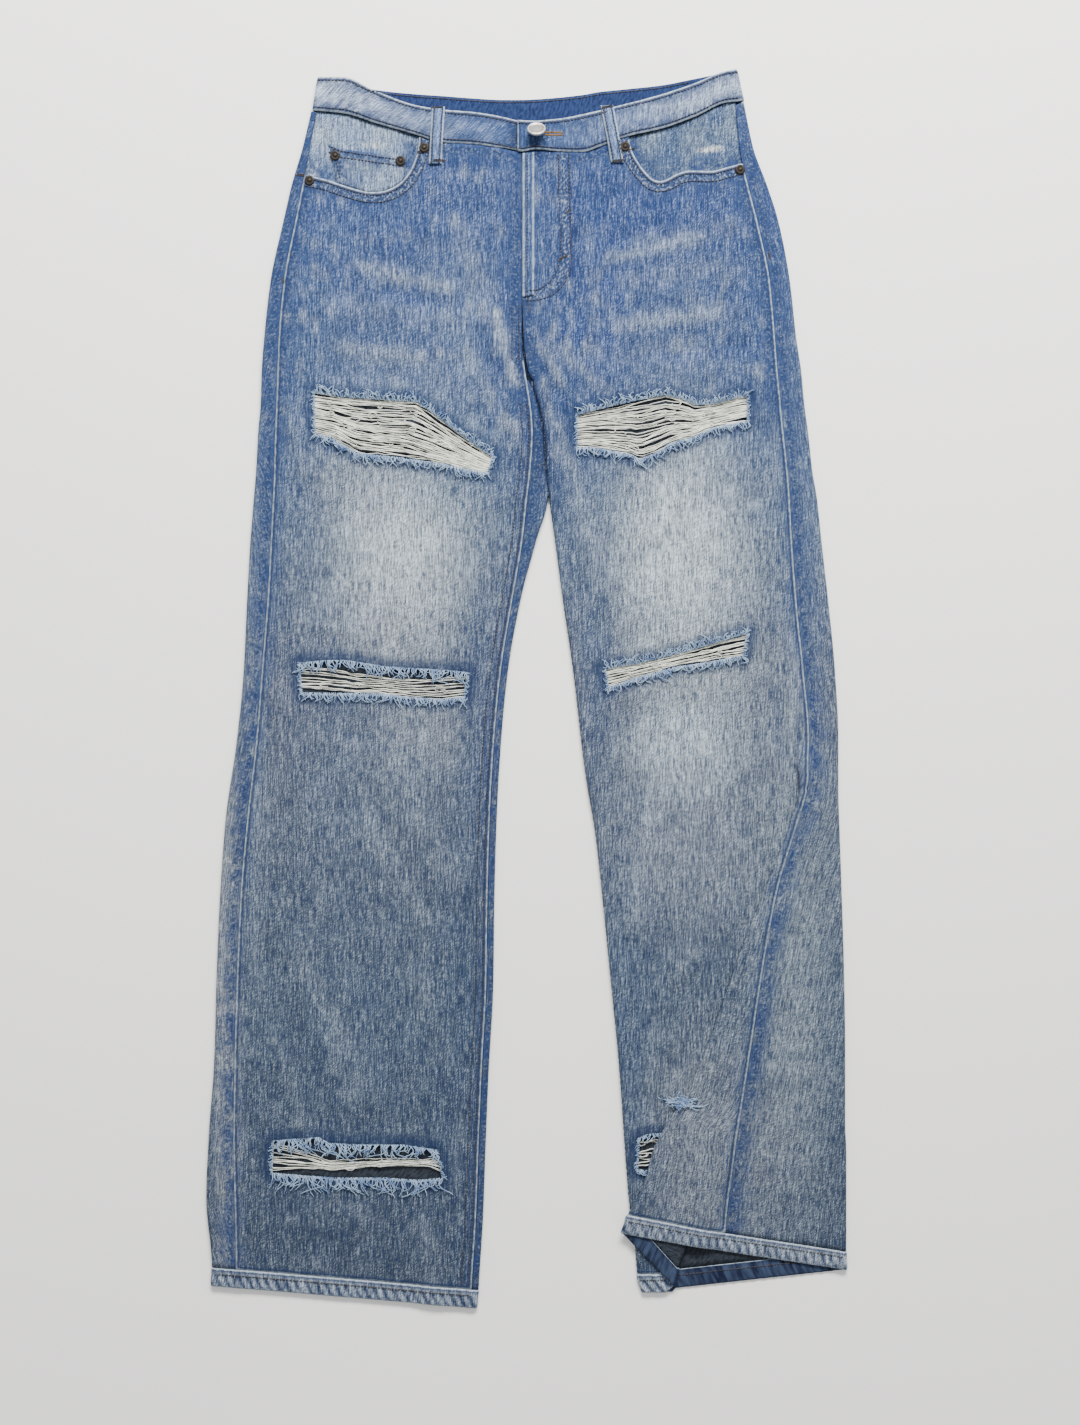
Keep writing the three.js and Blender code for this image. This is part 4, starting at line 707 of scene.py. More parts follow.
def left_back_place(station, row, cloth, floor):
    """Middle of the cloth: 0 to 1 is the top strip from the side seam, 1 to 2 goes round the outseam, and
    2 to 3 lies under."""
    share = tuck_part(row)
    far, edge = left_far(row), left_edge(row)
    _, _, _, _, end, high = tuck_lines(row)
    seam = np.where(row < TURN_START - TURN_ROWS / 2, np.maximum(left_seam(row), left_flap(row) + 4),
                    left_seam(row))
    lift = (lambda x: back_lift(x, row)) if cloth == CLOTH else (lambda x: 0)

    def top_y(x):
        return row + share * mix(SEAM_RISE, EDGE_RISE, np.clip((x - seam) / (edge - seam), 0, 1))

    edge_high = top_layer_height(edge - 3, top_y(edge - 3), row, high)
    lip = edge - (edge_high - floor) / 2 - cloth / 2
    top_x = mix(seam, lip, station)
    top_z = mix(top_layer_height(top_x, top_y(top_x), row, high), edge_high, smooth(lip - 6, lip, top_x))
    round_x, round_z = half_circle(lip, floor + lift(lip), edge_high, 1, 2 - station)
    inner = mix(CENTRE_BACK + SEAM_GAP / 2, far + left_wrap(row), smooth(CROTCH_FLAT, CROTCH_ROUND, row))
    under_x = mix(lip, inner, station - 2)
    under_y = row + share * EDGE_RISE * np.clip((under_x - far) / (edge - far), 0, 1)
    x = np.select([station < 1, station < 2], [top_x, round_x], under_x)
    y = np.select([station < 1, station < 2], [top_y(top_x), top_y(edge)], under_y)
    z = np.select([station < 1, station < 2], [top_z, round_z], floor + lift(under_x))
    return np.stack([x, y, z], -1)


def left_back(station, y):
    return left_back_place(station, y, CLOTH, CLOTH / 2)


back_and_yoke("left", left_back, stations(20, 8, 44), LEFT_PANEL_END)

# Right front
# The front is cut from the same cloth. It is felled to the back at the inseam with two rows of stitches,
# bound to a curved pocket mouth, and torn across at the thigh, the knee and the shin.
FRONT_STEP = 2.9
MOUTH_RIGHT = [(-96, 492), (-96.5, 480), (-98, 470.5), (-104, 455.5), (-113, 444.5), (-125, 438),
               (-139, 436.5), (-152, 439), (-168, 444), (-180, 448), (-202, 452)]
RIPS_RIGHT = {  # name: upper edge, lower edge
    "thigh_right": (
        [(-189, 261), (-166, 257.5), (-131, 255), (-98, 253), (-80, 240), (-61, 225), (-43, 212), (-31, 204)],
        [(-188, 224), (-172, 219), (-152, 206.5), (-110, 202), (-76, 197), (-51, 191.5), (-35.5, 189)]),
    "knee_right": (
        [(-202, 21.5), (-178, 24), (-160.5, 24), (-123.5, 18), (-93.5, 16.5), (-63, 14.5), (-53, 13)],
        [(-200, -4.5), (-154, -5), (-130, -5), (-108.5, -8), (-78.5, -10), (-57, -8)]),
    "shin_right": (
        [(-225, -399), (-202, -397), (-184, -396), (-178, -401), (-148.5, -402.5), (-111.5, -402.5),
         (-80.5, -407)],
        [(-226.5, -427), (-192.5, -430), (-168.5, -431.5), (-126.5, -431.5), (-96.5, -433.5), (-75, -431.5)]),
}


def rounded(points, count=70):
    """A smooth curve through a few given points."""
    points = np.array(points, float)
    padded = np.concatenate([points[:1], points, points[-1:]])
    at = np.linspace(0, len(points) - 1, count)
    i = np.minimum(at.astype(int), len(points) - 2)
    t = (at - i)[:, None]
    a, b, c, d = (padded[i + k] for k in range(4))
    return 0.5 * (2 * b + (c - a) * t + (2 * a - 5 * b + 4 * c - d) * t**2 + (3 * b - a - 3 * c + d) * t**3)


def resample(line, step, closed=False):
    line = np.array(line, float)
    ends = np.roll(line, -1, 0) if closed else line[1:]
    starts = line if closed else line[:-1]
    runs = []
    for a, b in zip(starts, ends):
        count = max(1, math.ceil(np.linalg.norm(b - a) / step))
        runs.append(a + (b - a) * np.arange(count)[:, None] / count)
    if not closed:
        runs.append(line[-1:])
    return np.concatenate(runs)


def is_inside(outline, points):
    x, y = points.T
    hit = np.zeros(len(points), bool)
    for (x1, y1), (x2, y2) in zip(outline, np.roll(outline, -1, 0)):
        if y1 != y2:
            hit ^= ((y1 > y) != (y2 > y)) & (x < (x2 - x1) * (y - y1) / (y2 - y1) + x1)
    return hit


def nearest(points, marks):
    """For each point, the number of the nearest mark and the distance to it."""
    tree = KDTree(len(marks))
    for k, (x, y) in enumerate(marks.tolist()):
        tree.insert((x, y, 0), k)
    tree.balance()
    found = [tree.find((x, y, 0)) for x, y in points.tolist()]
    return [each[1] for each in found], np.array([each[2] for each in found])


def distance_to(points, lines, step=1.5):
    """Distance from each point to the nearest of some lines."""
    return nearest(points, np.concatenate([resample(line, step) for line in lines]))[1]


def closed_ring(ring):
    return np.concatenate([ring, ring[:1]])


def heading(line):
    step = np.gradient(line, axis=0)
    return step / np.linalg.norm(step, axis=1, keepdims=True)


def beside(line, away):
    """A line shifted sideways, to its right as it runs."""
    step = heading(line)
    return line + np.stack([step[:, 1], -step[:, 0]], -1) * away


def across_line(points, line):
    """Distance from each point to a line, negative on its left as it runs."""
    line = resample(line, 0.5)
    step = heading(line)
    near = nearest(points, line)[0]
    away = points - line[near]
    return np.linalg.norm(away, axis=1) * np.sign(away[:, 0] * step[near, 1] - away[:, 1] * step[near, 0])


def cut_out(outline, holes, step):
    """Triangles of a piece of cloth cut to an outline, with its rips."""
    rings = [resample(ring, step, closed=True) for ring in (outline, *holes)]
    corners = np.concatenate(rings)
    edges = []
    for ring in rings:
        start = len(edges)
        edges += [(start + k, start + (k + 1) % len(ring)) for k in range(len(ring))]
    low, high = rings[0].min(0), rings[0].max(0)
    rows = np.arange(low[1], high[1], step * 0.866)
    columns = np.arange(low[0], high[0], step)
    grid = np.stack(np.broadcast_arrays(columns + (np.arange(len(rows)) % 2)[:, None] * step / 2,
                                        rows[:, None]), -1)
    grid = grid.reshape(-1, 2)

    def is_cloth(points):
        kept = is_inside(rings[0], points)
        for ring in rings[1:]:
            kept &= ~is_inside(ring, points)
        return kept

    grid = grid[is_cloth(grid)]
    grid = grid[distance_to(grid, [closed_ring(ring) for ring in rings]) > 0.6 * step]
    points = [Vector(point) for point in np.concatenate([corners, grid]).tolist()]
    made = delaunay_2d_cdt(points, edges, [], 0, 1e-6)
    flat, faces = np.array([tuple(point) for point in made[0]]), np.array(made[2])
    faces = faces[is_cloth(flat[faces].mean(1))]
    a, b, c = (flat[faces[:, k]] for k in range(3))
    turned = np.cross(b - a, c - a) < 0
    faces[turned] = faces[turned][:, ::-1]
    return flat, faces


def rip_ring(edges, to_rows=lambda points: points):
    upper, lower = edges
    ragged = []
    for line, seed in ((resample(upper, 2.2), 3), (resample(lower[::-1], 2.2), 4)):
        line = np.array(line)
        line[1:-1, 1] += 0.7 * ripples(line[1:-1, 0], line[1:-1, 1], 4, seed)
        ragged.append(line)
    return to_rows(np.concatenate(ragged))


def right_rows(points):
    """Rows of the pattern on which points of the laid garment lie."""
    row = points[:, 1].copy()
    for _ in range(6):
        row = points[:, 1] + hem_slant(points[:, 0], row)
    return np.stack([points[:, 0], row], -1)


def puckers(x, y, seam):
    """Small unevenness beside sewn edges, and the ridge of the layers turned in at them."""
    near = np.exp(-seam / 6.5)
    return near * 0.30 * ripples(x, y, 6.5, 41) + 0.35 * np.exp(-(seam / 2.4) ** 2)


def down_rows(edge, shift, high, low, step=12):
    rows = np.linspace(high, low, max(2, int(abs(high - low) / step)))
    return np.stack([edge(rows) + shift, rows], -1)


def mouth_line(points, seam, way):
    """The pocket mouth between the side seam and the waistband. way is 1 on the wearer's left."""
    mouth = rounded(points)
    mouth = mouth[way * mouth[:, 0] < way * seam(mouth[:, 1]) - SEAM_GAP]
    return mouth[mouth[:, 1] < waist_seam(mouth[0, 0]) - SEAM_GAP - 2]


def waist_line(start, end):
    x = np.linspace(start, end, 30)
    return np.stack([x, waist_seam(x) - SEAM_GAP], -1)


def front_piece(side, flat, faces, middle, edges, ridges_at, rips, rows_mm):
    """Dresses a front whose middle still lies smooth: puckers beside its edges and its rips, and marks."""
    across, row = flat.T
    seam_mm = distance_to(flat, edges)
    rip_mm = distance_to(flat, [closed_ring(ring) for ring in rips.values()])
    x, y = (across, row) if side == "right" else middle[:, :2].T.copy()
    loose = 1 if side == "right" else np.where(across < tuck_lines(row)[1] - 6, 1, 0.5)
    middle[:, 2] += puckers(across, row, seam_mm) * loose
    middle[:, 2] += np.exp(-rip_mm / 3) * (0.3 + 0.45 * ripples(x, y, 9, RIP_SEED[side]))
    marks = {"seam_mm": seam_mm + 9 * smooth(300, 150, y), "rip_mm": rip_mm, "rows_mm": rows_mm,
             "ridge_mm": distance_to(flat, ridges_at)}
    piece = cloth_wall(f"cloth_front_{side}", flat, faces, middle, CLOTH, WALL, marks)
    dress(piece, "denim", f"front_{side}")


RIP_SEED = {"right": 61, "left": 62}
MOUTH_ROWS_MIDDLE = 5.8  # from the mouth to half way between its two rows of stitches
right_mouth = mouth_line(MOUTH_RIGHT, right_seam, -1)
right_waist = waist_line(-6 - SEAM_GAP, right_mouth[0, 0])
right_side = down_rows(right_seam, SEAM_GAP, right_mouth[-1, 1], RIGHT_PANEL_END)
right_inseam = down_rows(right_inner, -SEAM_GAP, right_waist[0, 1], RIGHT_PANEL_END)
right_outline = np.concatenate([right_waist, right_mouth, right_side, right_inseam[::-1][:-1]])
right_rips = {name: rip_ring(edges, right_rows) for name, edges in RIPS_RIGHT.items()}
front_right_flat, front_right_faces = cut_out(right_outline, list(right_rips.values()), FRONT_STEP)
x, row = front_right_flat.T
front_right_middle = np.stack([x, row - hem_slant(x, row), front_height("right", x, row)], -1)
right_hem_line = np.array([right_side[-1], right_inseam[-1]])
front_piece("right", front_right_flat, front_right_faces, front_right_middle,
            [right_waist, right_mouth, right_side, right_inseam],
            [right_mouth, right_side, right_inseam[right_inseam[:, 1] < 290], right_hem_line],
            right_rips, distance_to(front_right_flat, [right_mouth]) - MOUTH_ROWS_MIDDLE)

# Left front
# The same cut mirrored, with its own rips. Its inseam edge goes round under the leg. Below the knee it is
# tucked: it turns over at the crease, runs back, and turns again at the flap's edge to lie on itself.
MOUTH_LEFT = [(88, 492), (88.5, 482), (91, 472.5), (95.5, 464), (102, 455), (109, 448), (116, 446),
              (122.5, 448),
              (130, 452), (139.5, 455), (151, 455), (163, 455), (174, 458), (190, 462), (205, 465)]
RIPS_LEFT = {
    "thigh_left": (
        [(42.5, 241.5), (69, 248), (94, 254), (120, 259), (135, 255.5), (146.5, 250), (162.5, 251),
         (187, 257.5),
         (193, 257.5)],
        [(42.5, 211.5), (52.5, 212), (72.5, 208.5), (89, 205.5), (98, 201), (113, 207), (126, 215),
         (144, 220.5),
         (159, 227.5), (182, 233), (193, 235)]),
    "knee_left": (
        [(67, 18), (80.5, 20.5), (95.5, 22.5), (137.5, 33), (169.5, 42.5), (193, 49.5)],
        [(70, 0.5), (95.5, 9), (128, 18), (158, 22.5), (189.5, 28.5)]),
    "shin_left": (
        [(97, -396.5), (102, -394.5), (107, -393), (130, -391.5)],
        [(95.5, -424), (101, -424.8), (107, -425.5), (130, -427)]),
}
EDGE_RUN = 20  # the cloth comes up to its own height over this width beside the inseam


def left_wrap_lengths(row):
    far = left_far(row)
    high = lower_height(far + 3, row)
    return far, high


def left_front_place(across, row, cloth, floor):
    """Middle of the cloth. across is x on the lower layer, and runs on as the cloth's own length past it."""
    far, edge_high = left_wrap_lengths(row)
    share = tuck_part(row)
    radius = (edge_high - floor) / 2
    lip = far + radius + cloth / 2
    run = lip + EDGE_RUN
    turn, start, flat, low, end, high = tuck_lines(row)
    left_of_run = run - across
    around = left_of_run - EDGE_RUN
    angle = np.clip(around / radius, 0, math.pi)
    under = np.maximum(around - math.pi * radius, 0)
    wrapped_x = np.where(around < 0, across, lip - np.sin(angle) * radius + under)
    top_z = mix(edge_high, lower_height(across, row), smooth(lip, run, across))
    wrapped_z = np.where(around < 0, top_z, floor + radius + np.cos(angle) * radius)
    flat_x = run - left_of_run * (run - far) / left_length(row, cloth, floor)
    open_share = 1 - smooth(CROTCH_FLAT, CROTCH_ROUND, row)
    near_x = mix(wrapped_x, flat_x, open_share)
    near_z = mix(wrapped_z, lower_height(flat_x, row), open_share)
    lower_t = np.clip((across - run) / (start - run), 0, 1)
    lower_y = row + share * CREASE_RISE * lower_t
    lower_z = lower_height(across, lower_y)
    past = across - start
    first = np.clip(past / FOLD_RADIUS, 0, turn)
    middle_run = np.clip(past - FOLD_RADIUS * turn, 0, flat)
    second = turn - np.clip((past - FOLD_RADIUS * turn - flat) / FOLD_RADIUS, 0, turn)
    tuck_x = (start + FOLD_RADIUS * np.sin(first) + np.cos(turn) * middle_run
              + FOLD_RADIUS * (np.sin(turn) - np.sin(second)))
    tuck_z = (low + FOLD_RADIUS * (1 - np.cos(first)) + np.sin(turn) * middle_run
              + FOLD_RADIUS * (np.cos(second) - np.cos(turn)))
    tuck_y = row + share * mix(CREASE_RISE, FLAP_RISE, middle_run / np.maximum(flat, 0.1))
    top_x = end + past - 2 * FOLD_RADIUS * turn - flat
    seam = np.maximum(left_seam(row) - SEAM_GAP, end + 2)
    top_t = np.clip((top_x - end) / (seam - end), 0, 1)
    top_y = row + share * mix(FLAP_RISE, SEAM_RISE, top_t)
    top_z = top_layer_height(top_x, top_y, row, high)
    tuck_z = mix(front_height("left", tuck_x, row), tuck_z, smooth(0, 0.5, turn))
    where = [across < run, past < 0, top_x < end]
    return np.stack([
        np.select(where, [near_x, across, tuck_x], top_x),
        np.select(where, [row, lower_y, tuck_y], top_y),
        np.select(where, [near_z, lower_z, tuck_z], top_z),
    ], -1)


def left_length(row, cloth=CLOTH, floor=CLOTH / 2):
    """Length of the cloth from the end under the leg, or from the fly, to where the lower layer is flat."""
    far, edge_high = left_wrap_lengths(row)
    radius = (edge_high - floor) / 2
    to_lip = radius + cloth / 2
    wrapped = EDGE_RUN + math.pi * radius + left_wrap(row) - SEAM_GAP - to_lip
    return mix(EDGE_RUN + to_lip, wrapped, smooth(CROTCH_FLAT, CROTCH_ROUND, row))


def left_start_across(row, cloth=CLOTH, floor=CLOTH / 2):
    far, edge_high = left_wrap_lengths(row)
    return far + (edge_high - floor) / 2 + cloth / 2 + EDGE_RUN - left_length(row, cloth, floor)


def left_seam_across(row):
    turn, start, flat, _, end, _ = tuck_lines(row)
    seam = np.maximum(left_seam(row) - SEAM_GAP, end + 2)
    return start + 2 * FOLD_RADIUS * turn + flat + seam - end


def left_rows(points):
    row = points[:, 1].copy()
    for _ in range(6):
        far, edge_high = left_wrap_lengths(row)
        run = far + edge_high / 2 + EDGE_RUN
        start = tuck_lines(row)[1]
        beyond = np.clip((points[:, 0] - run) / (start - run), 0, 1)
        row = points[:, 1] - tuck_part(row) * CREASE_RISE * beyond
    return np.stack([points[:, 0], row], -1)


FLY_CURVE_INNER = [(26.5, 469), (27, 430), (28, 400), (28.4, 385), (26, 370), (19, 358), (9, 351),
                   (-1, 349.5)]
FLY_CURVE_OUTER = [(35.5, 470), (36.2, 430), (37.5, 400), (37.7, 380), (35.5, 364), (27, 351), (14, 343),
                   (-1, 341)]
left_mouth = mouth_line(MOUTH_LEFT, left_seam, 1)
left_waist = waist_line(left_mouth[0, 0], FLY_EDGE_MM)
left_side = down_rows(left_seam_across, 0, left_mouth[-1, 1], LEFT_PANEL_END, 6)
left_inseam = down_rows(left_start_across, 0, left_waist[-1, 1], LEFT_PANEL_END, 4)
left_outline = np.concatenate([left_waist[::-1], left_mouth, left_side, left_inseam[::-1][:-1]])
left_rips = {name: rip_ring(edges, left_rows) for name, edges in RIPS_LEFT.items()}
front_left_flat, front_left_faces = cut_out(left_outline, list(left_rips.values()), FRONT_STEP)
fly_middle = rounded((np.array(FLY_CURVE_INNER) + FLY_CURVE_OUTER) / 2, 60)
fly_middle = np.concatenate([[(31, 485)], fly_middle, [(-14, 345)]])
left_mouth_rows = distance_to(front_left_flat, [left_mouth]) - MOUTH_ROWS_MIDDLE
left_fly_rows = -across_line(front_left_flat, fly_middle)
left_hem_line = np.array([left_side[-1], left_inseam[-1]])
front_piece("left", front_left_flat, front_left_faces,
            left_front_place(*front_left_flat.T, CLOTH, CLOTH / 2),
            [left_waist, left_mouth, left_side, left_inseam], [left_mouth, left_side, left_hem_line],
            left_rips,
            np.where(abs(left_mouth_rows) < abs(left_fly_rows), left_mouth_rows, left_fly_rows))

# Crotch seam in shadow
# Between the legs the turned allowances of the two inseams meet. The strip that stands for them is dyed near
# black, as painted shadow in the slit between the legs, where it shows as a dark line.
CROTCH_SHADOW = {"top": 312, "bottom": 168, "half": 2.6, "height": 3.2}
row = np.linspace(CROTCH_SHADOW["top"], CROTCH_SHADOW["bottom"], 40)[:, None]
across = np.array([[-CROTCH_SHADOW["half"], CROTCH_SHADOW["half"]]])
slit = np.maximum((right_far(row) + left_far(row)) / 2, -4)
middle = np.stack(np.broadcast_arrays(slit + across, row, CROTCH_SHADOW["height"]), -1).reshape(-1, 3)
crotch_faces = grid_faces(40, 2)
# Near-black: painted shadow in the slit between the legs.
crotch_shadow_dye = np.tile(dye_of("#10182b"), (len(middle), 1))
crotch_shadow = cloth_wall("cloth_crotch_seam", middle[:, :2], crotch_faces, middle, 1.0, (denim, denim, denim),
                         tint=crotch_shadow_dye)
dress(crotch_shadow, "denim")

# Pocket facings and coin pocket
# Each front pocket's back is faced with the same denim, which shows in the mouth under the waistband. The
# right one carries a small coin pocket, sewn down round its sides, with a turned and double sewn top.
FACING = 1.1
FACING_REACH = 9  # how far the facing goes on under the front beyond the mouth
POCKET_CLOTH = 1.0
COIN_TOP = [(-175, 479), (-164.4, 474.5), (-119, 468), (-108.5, 466.5)]
WORN_SPOTS = [(158, 474, 8, 1.8), (166, 476, 4, 1.2), (-135, 478, 9, 1.5)]  # x, y, half width, half length
FACING_DYE = ("#798694", "#4e607c")


def facing_height(side, x, y):
    return front_height(side, x, y) - CLOTH / 2 - SEAM_GAP - FACING / 2


def faded(x, y, pale, deep, seed):
    share = 0.5 + 0.5 * ripples(x, y, 22, seed)
    made = mix(dye_of(pale), dye_of(deep), np.clip(share, 0, 1)[..., None])
    for spot_x, spot_y, wide, long in WORN_SPOTS:
        spot = np.exp(-((x - spot_x) / wide) ** 2 - ((y - spot_y) / long) ** 2)
        made = mix(made, dye_of("#d4d6d2"), (spot * (0.6 + 0.4 * ripples(x, y, 4, 79)))[..., None])
    return made


def laid_piece(name, outline, height, thickness, node, step=3.0, tint=None, sewn=None, under=False,
               ridge=None):
    """A flat piece of cloth cut to an outline and laid at a height on or under another."""
    flat, faces = cut_out(outline, [], step)
    x, y = flat.T
    seam = distance_to(flat, sewn if sewn is not None else [closed_ring(outline)])
    middle = np.stack([x, y, height(x, y) + (0 if under else 0.5) * puckers(x, y, seam)], -1)
    marks = {"seam_mm": seam} if ridge is None else {"ridge_mm": distance_to(flat, ridge)}
    piece = cloth_wall(name, flat, faces[:, ::-1] if under else faces, middle, thickness, WALL, marks,
                       tint(x, y))
    dress(piece, "facing" if "facing" in name else "denim", node)
    return piece


def facing_outline(mouth, away, side_line):
    reach = beside(mouth, away)
    top = waist_seam(reach[0, 0]) - SEAM_GAP
    reach = reach[reach[:, 1] < top - 1]
    sign = np.sign(mouth[-1, 0])
    reach = reach[sign * reach[:, 0] < sign * side_line(reach[:, 1])]
    side_y = np.linspace(reach[-1, 1], waist_seam(side_line(505)) - SEAM_GAP - 1, 12)
    side_x = side_line(side_y)
    run = np.linspace(side_x[-1], reach[0, 0], 14)
    waist = np.stack([run, waist_seam(run) - SEAM_GAP], -1)
    return np.concatenate([reach, np.stack([side_x, side_y], -1), waist])


laid_piece("cloth_facing_right", facing_outline(right_mouth, -FACING_REACH,
                                                lambda y: right_seam(y) + SEAM_GAP),
           lambda x, y: facing_height("right", x, y), FACING, "pocket_facing_right",
           tint=lambda x, y: faded(x, y, *FACING_DYE, 71), sewn=[right_waist, right_mouth])
laid_piece("cloth_facing_left", facing_outline(left_mouth, FACING_REACH, lambda y: left_seam(y) - SEAM_GAP),
           lambda x, y: facing_height("left", x, y), FACING, "pocket_facing_left",
           tint=lambda x, y: faded(x, y, "#556373", "#33445e", 72), sewn=[left_waist, left_mouth])
coin_foot = beside(right_mouth, 0.4)
coin_foot = coin_foot[(coin_foot[:, 0] < COIN_TOP[-1][0]) & (coin_foot[:, 0] > -168)]
coin_outline = np.concatenate([np.array(COIN_TOP[::-1]), [(-168, coin_foot[-1, 1])], coin_foot[::-1]])
laid_piece("cloth_coin_pocket", coin_outline,
           lambda x, y: facing_height("right", x, y) + FACING / 2 + SEAM_GAP + POCKET_CLOTH / 2, POCKET_CLOTH,
           "coin_pocket", step=2.2, tint=lambda x, y: faded(x, y, "#717e8f", "#516179", 73),
           sewn=[np.array(COIN_TOP), np.array([(-175, 479), (-168, 440)])])

# Fly
# The opening is closed by the left front lapping over a shield of the same denim. The left front's edge is
# turned in and its thickness shows as a hard ridge, rubbed pale along its edges, with a painted shadow line
# beside them.
FLY = {"left": -5.2, "right": 5.0, "top": 471, "bottom": 344}
SHIELD = [(-22, 340), (24, 340), (30, 352), (30, 464), (-22, 464)]
fly_outline = np.array([(FLY["left"], FLY["bottom"]), (FLY["right"], FLY["bottom"] + 2),
                        (FLY["right"], FLY["top"]), (FLY["left"], FLY["top"] - 1)])
laid_piece("cloth_fly_edge", fly_outline,
           lambda x, y: front_height("left", x, y) + CLOTH / 2 + SEAM_GAP + 0.5 - 0.35 * smooth(1, 5, x), 1.0,
           "fly_edge", step=1.6, tint=lambda x, y: faded(x, y, "#4e6183", "#334672", 74),
           ridge=[fly_outline[[0, 3]] + (0.6, 0), fly_outline[[1, 2]] - (0.6, 0)])
laid_piece("cloth_fly_shield", np.array(SHIELD),
           lambda x, y: np.minimum(front_height("left", x, y), front_height("right", np.minimum(x, -6), y))
           - CLOTH - SEAM_GAP, CLOTH, "fly_underlap", step=5,
           tint=lambda x, y: faded(x, y, "#3d4d6e", "#32415e", 75))

# Waistband
# One strip of denim folded over four thick, sewn along both edges. It starts at the buttoned end on top,
# goes round the wearer's left side, along the back, round the right side and across to the end under the
# button. The inside of its back shows above the front, unfaded.
BAND = 2.2
BAND_BACK, BAND_SEAM, BAND_TOP = 2.6, 7.0, 5.8
LAP_END, LAP_UNDER = -9.5, 24
BAND_WIDTH = 30
BAND_ROWS = 13
BAND_DYE_ENDS, BAND_DYE_MIDDLE = "#8e9aaa", "#33466a"


def band_place(station, r):
    """r goes from 0 at the seam to 1 at the top edge."""
    normal = mix(BAND_SEAM, BAND_TOP, r)
    left_end, right_end = mix(190.0, 184.0, r), mix(-190.5, -186.0, r)
    radius = (normal - BAND_BACK) / 2
    left_lip, right_lip = left_end - radius - BAND / 2, right_end + radius + BAND / 2

    def front_y(x):
        return mix(waist_seam(x), waist_top(x), r)

    over_x = mix(LAP_END, left_lip, station)
    over_z = normal + mix(1.2, 2.2, r) * smooth(44, 12, over_x)
    left_x, left_z = half_circle(left_lip, BAND_BACK, normal, 1, 2 - station)
    back_x = mix(left_lip, right_lip, station - 2)
    right_x, right_z = half_circle(right_lip, BAND_BACK, normal, -1, station - 3)
    under_x = mix(right_lip, LAP_UNDER, station - 4)
    under_z = normal - mix(1.6, 0.6, r) * smooth(-40, -13, under_x)
    under_y = front_y(under_x) + mix(1.5, 0, r) * smooth(-32, -13, under_x)
    parts = [station < 1, station < 2, station < 3, station < 4]
    x = np.select(parts, [over_x, left_x, back_x, right_x], under_x)
    back_y = mix(back_seam(back_x), back_top(back_x), r)
    y = np.select(parts, [front_y(over_x), front_y(left_end), back_y, front_y(right_end)], under_y)
    z = np.select(parts, [over_z, left_z, BAND_BACK, right_z], under_z)
    return np.stack([x, y, z], -1)


band_stations = stations(84, 9, 80, 9, 90)
r = np.linspace(1, 0, BAND_ROWS)[:, None]
station = np.broadcast_to(band_stations, (BAND_ROWS, len(band_stations)))
middle = band_place(station, r)
flat = np.stack([run_length(middle), np.broadcast_to(r * BAND_WIDTH, station.shape)], -1).reshape(-1, 2)
along = flat[:, 0]
from_edge = np.minimum(flat[:, 1], BAND_WIDTH - flat[:, 1])
relief = 0.30 * ripples(along, flat[:, 1], 10, 81) * np.exp(-from_edge / 8) - 0.25 * smooth(2, 7, from_edge)
relief += 0.35 * ripples(along, flat[:, 1], 30, 82) + 0.25
faces = grid_faces(BAND_ROWS, len(band_stations))
points = middle.reshape(-1, 3)
on_front = (station.ravel() < 1.1) | (station.ravel() > 3.9)
points = points + normals_of(points, faces) * (relief * np.where(on_front, 1, 0.3))[:, None]
ends_share = np.clip(np.abs(points[:, 0]) / 190, 0, 1) ** 1.5
tint = mix(dye_of(BAND_DYE_MIDDLE), dye_of(BAND_DYE_ENDS), ends_share[:, None])
tint *= (1 + 0.14 * ripples(points[:, 0], points[:, 1], 16, 83) + 0.08
         * ripples(along, flat[:, 1], 7, 84))[:, None]
# Painted shadow of the lapped end, darkening the under end of the band beside it.
lap_shadow = (station.ravel() > 4.5) * smooth(-24, -11, points[:, 0])
tint *= (1 - 0.65 * lap_shadow)[:, None]
thickness = BAND * (1 - 0.32 * np.exp(-(from_edge / 1.6) ** 2))
inside_blue = twill_wrong_side("denim_inside_unfaded", "#22335a", "#091838")
waistband = cloth_wall("cloth_waistband", flat, faces, points, thickness, (denim, inside_blue, denim),
                       {"seam_mm": from_edge + 3, "ridge_mm": np.minimum(from_edge, along + 0.4)}, tint)
dress(waistband, "denim", "waistband")

# Hems
# Each leg ends in cloth turned up twice and sewn down, which went ropy in the wash: pale and dark slanting
# ribs run round it. The hem is one ring all the way round the leg, tuck and all.
HEM = 1.8
HEM_WIDE = 16
HEM_ROWS = 13
ROPE_PITCH, ROPE_SLANT, HEM_STITCH = 8.5, 0.55, 11.0


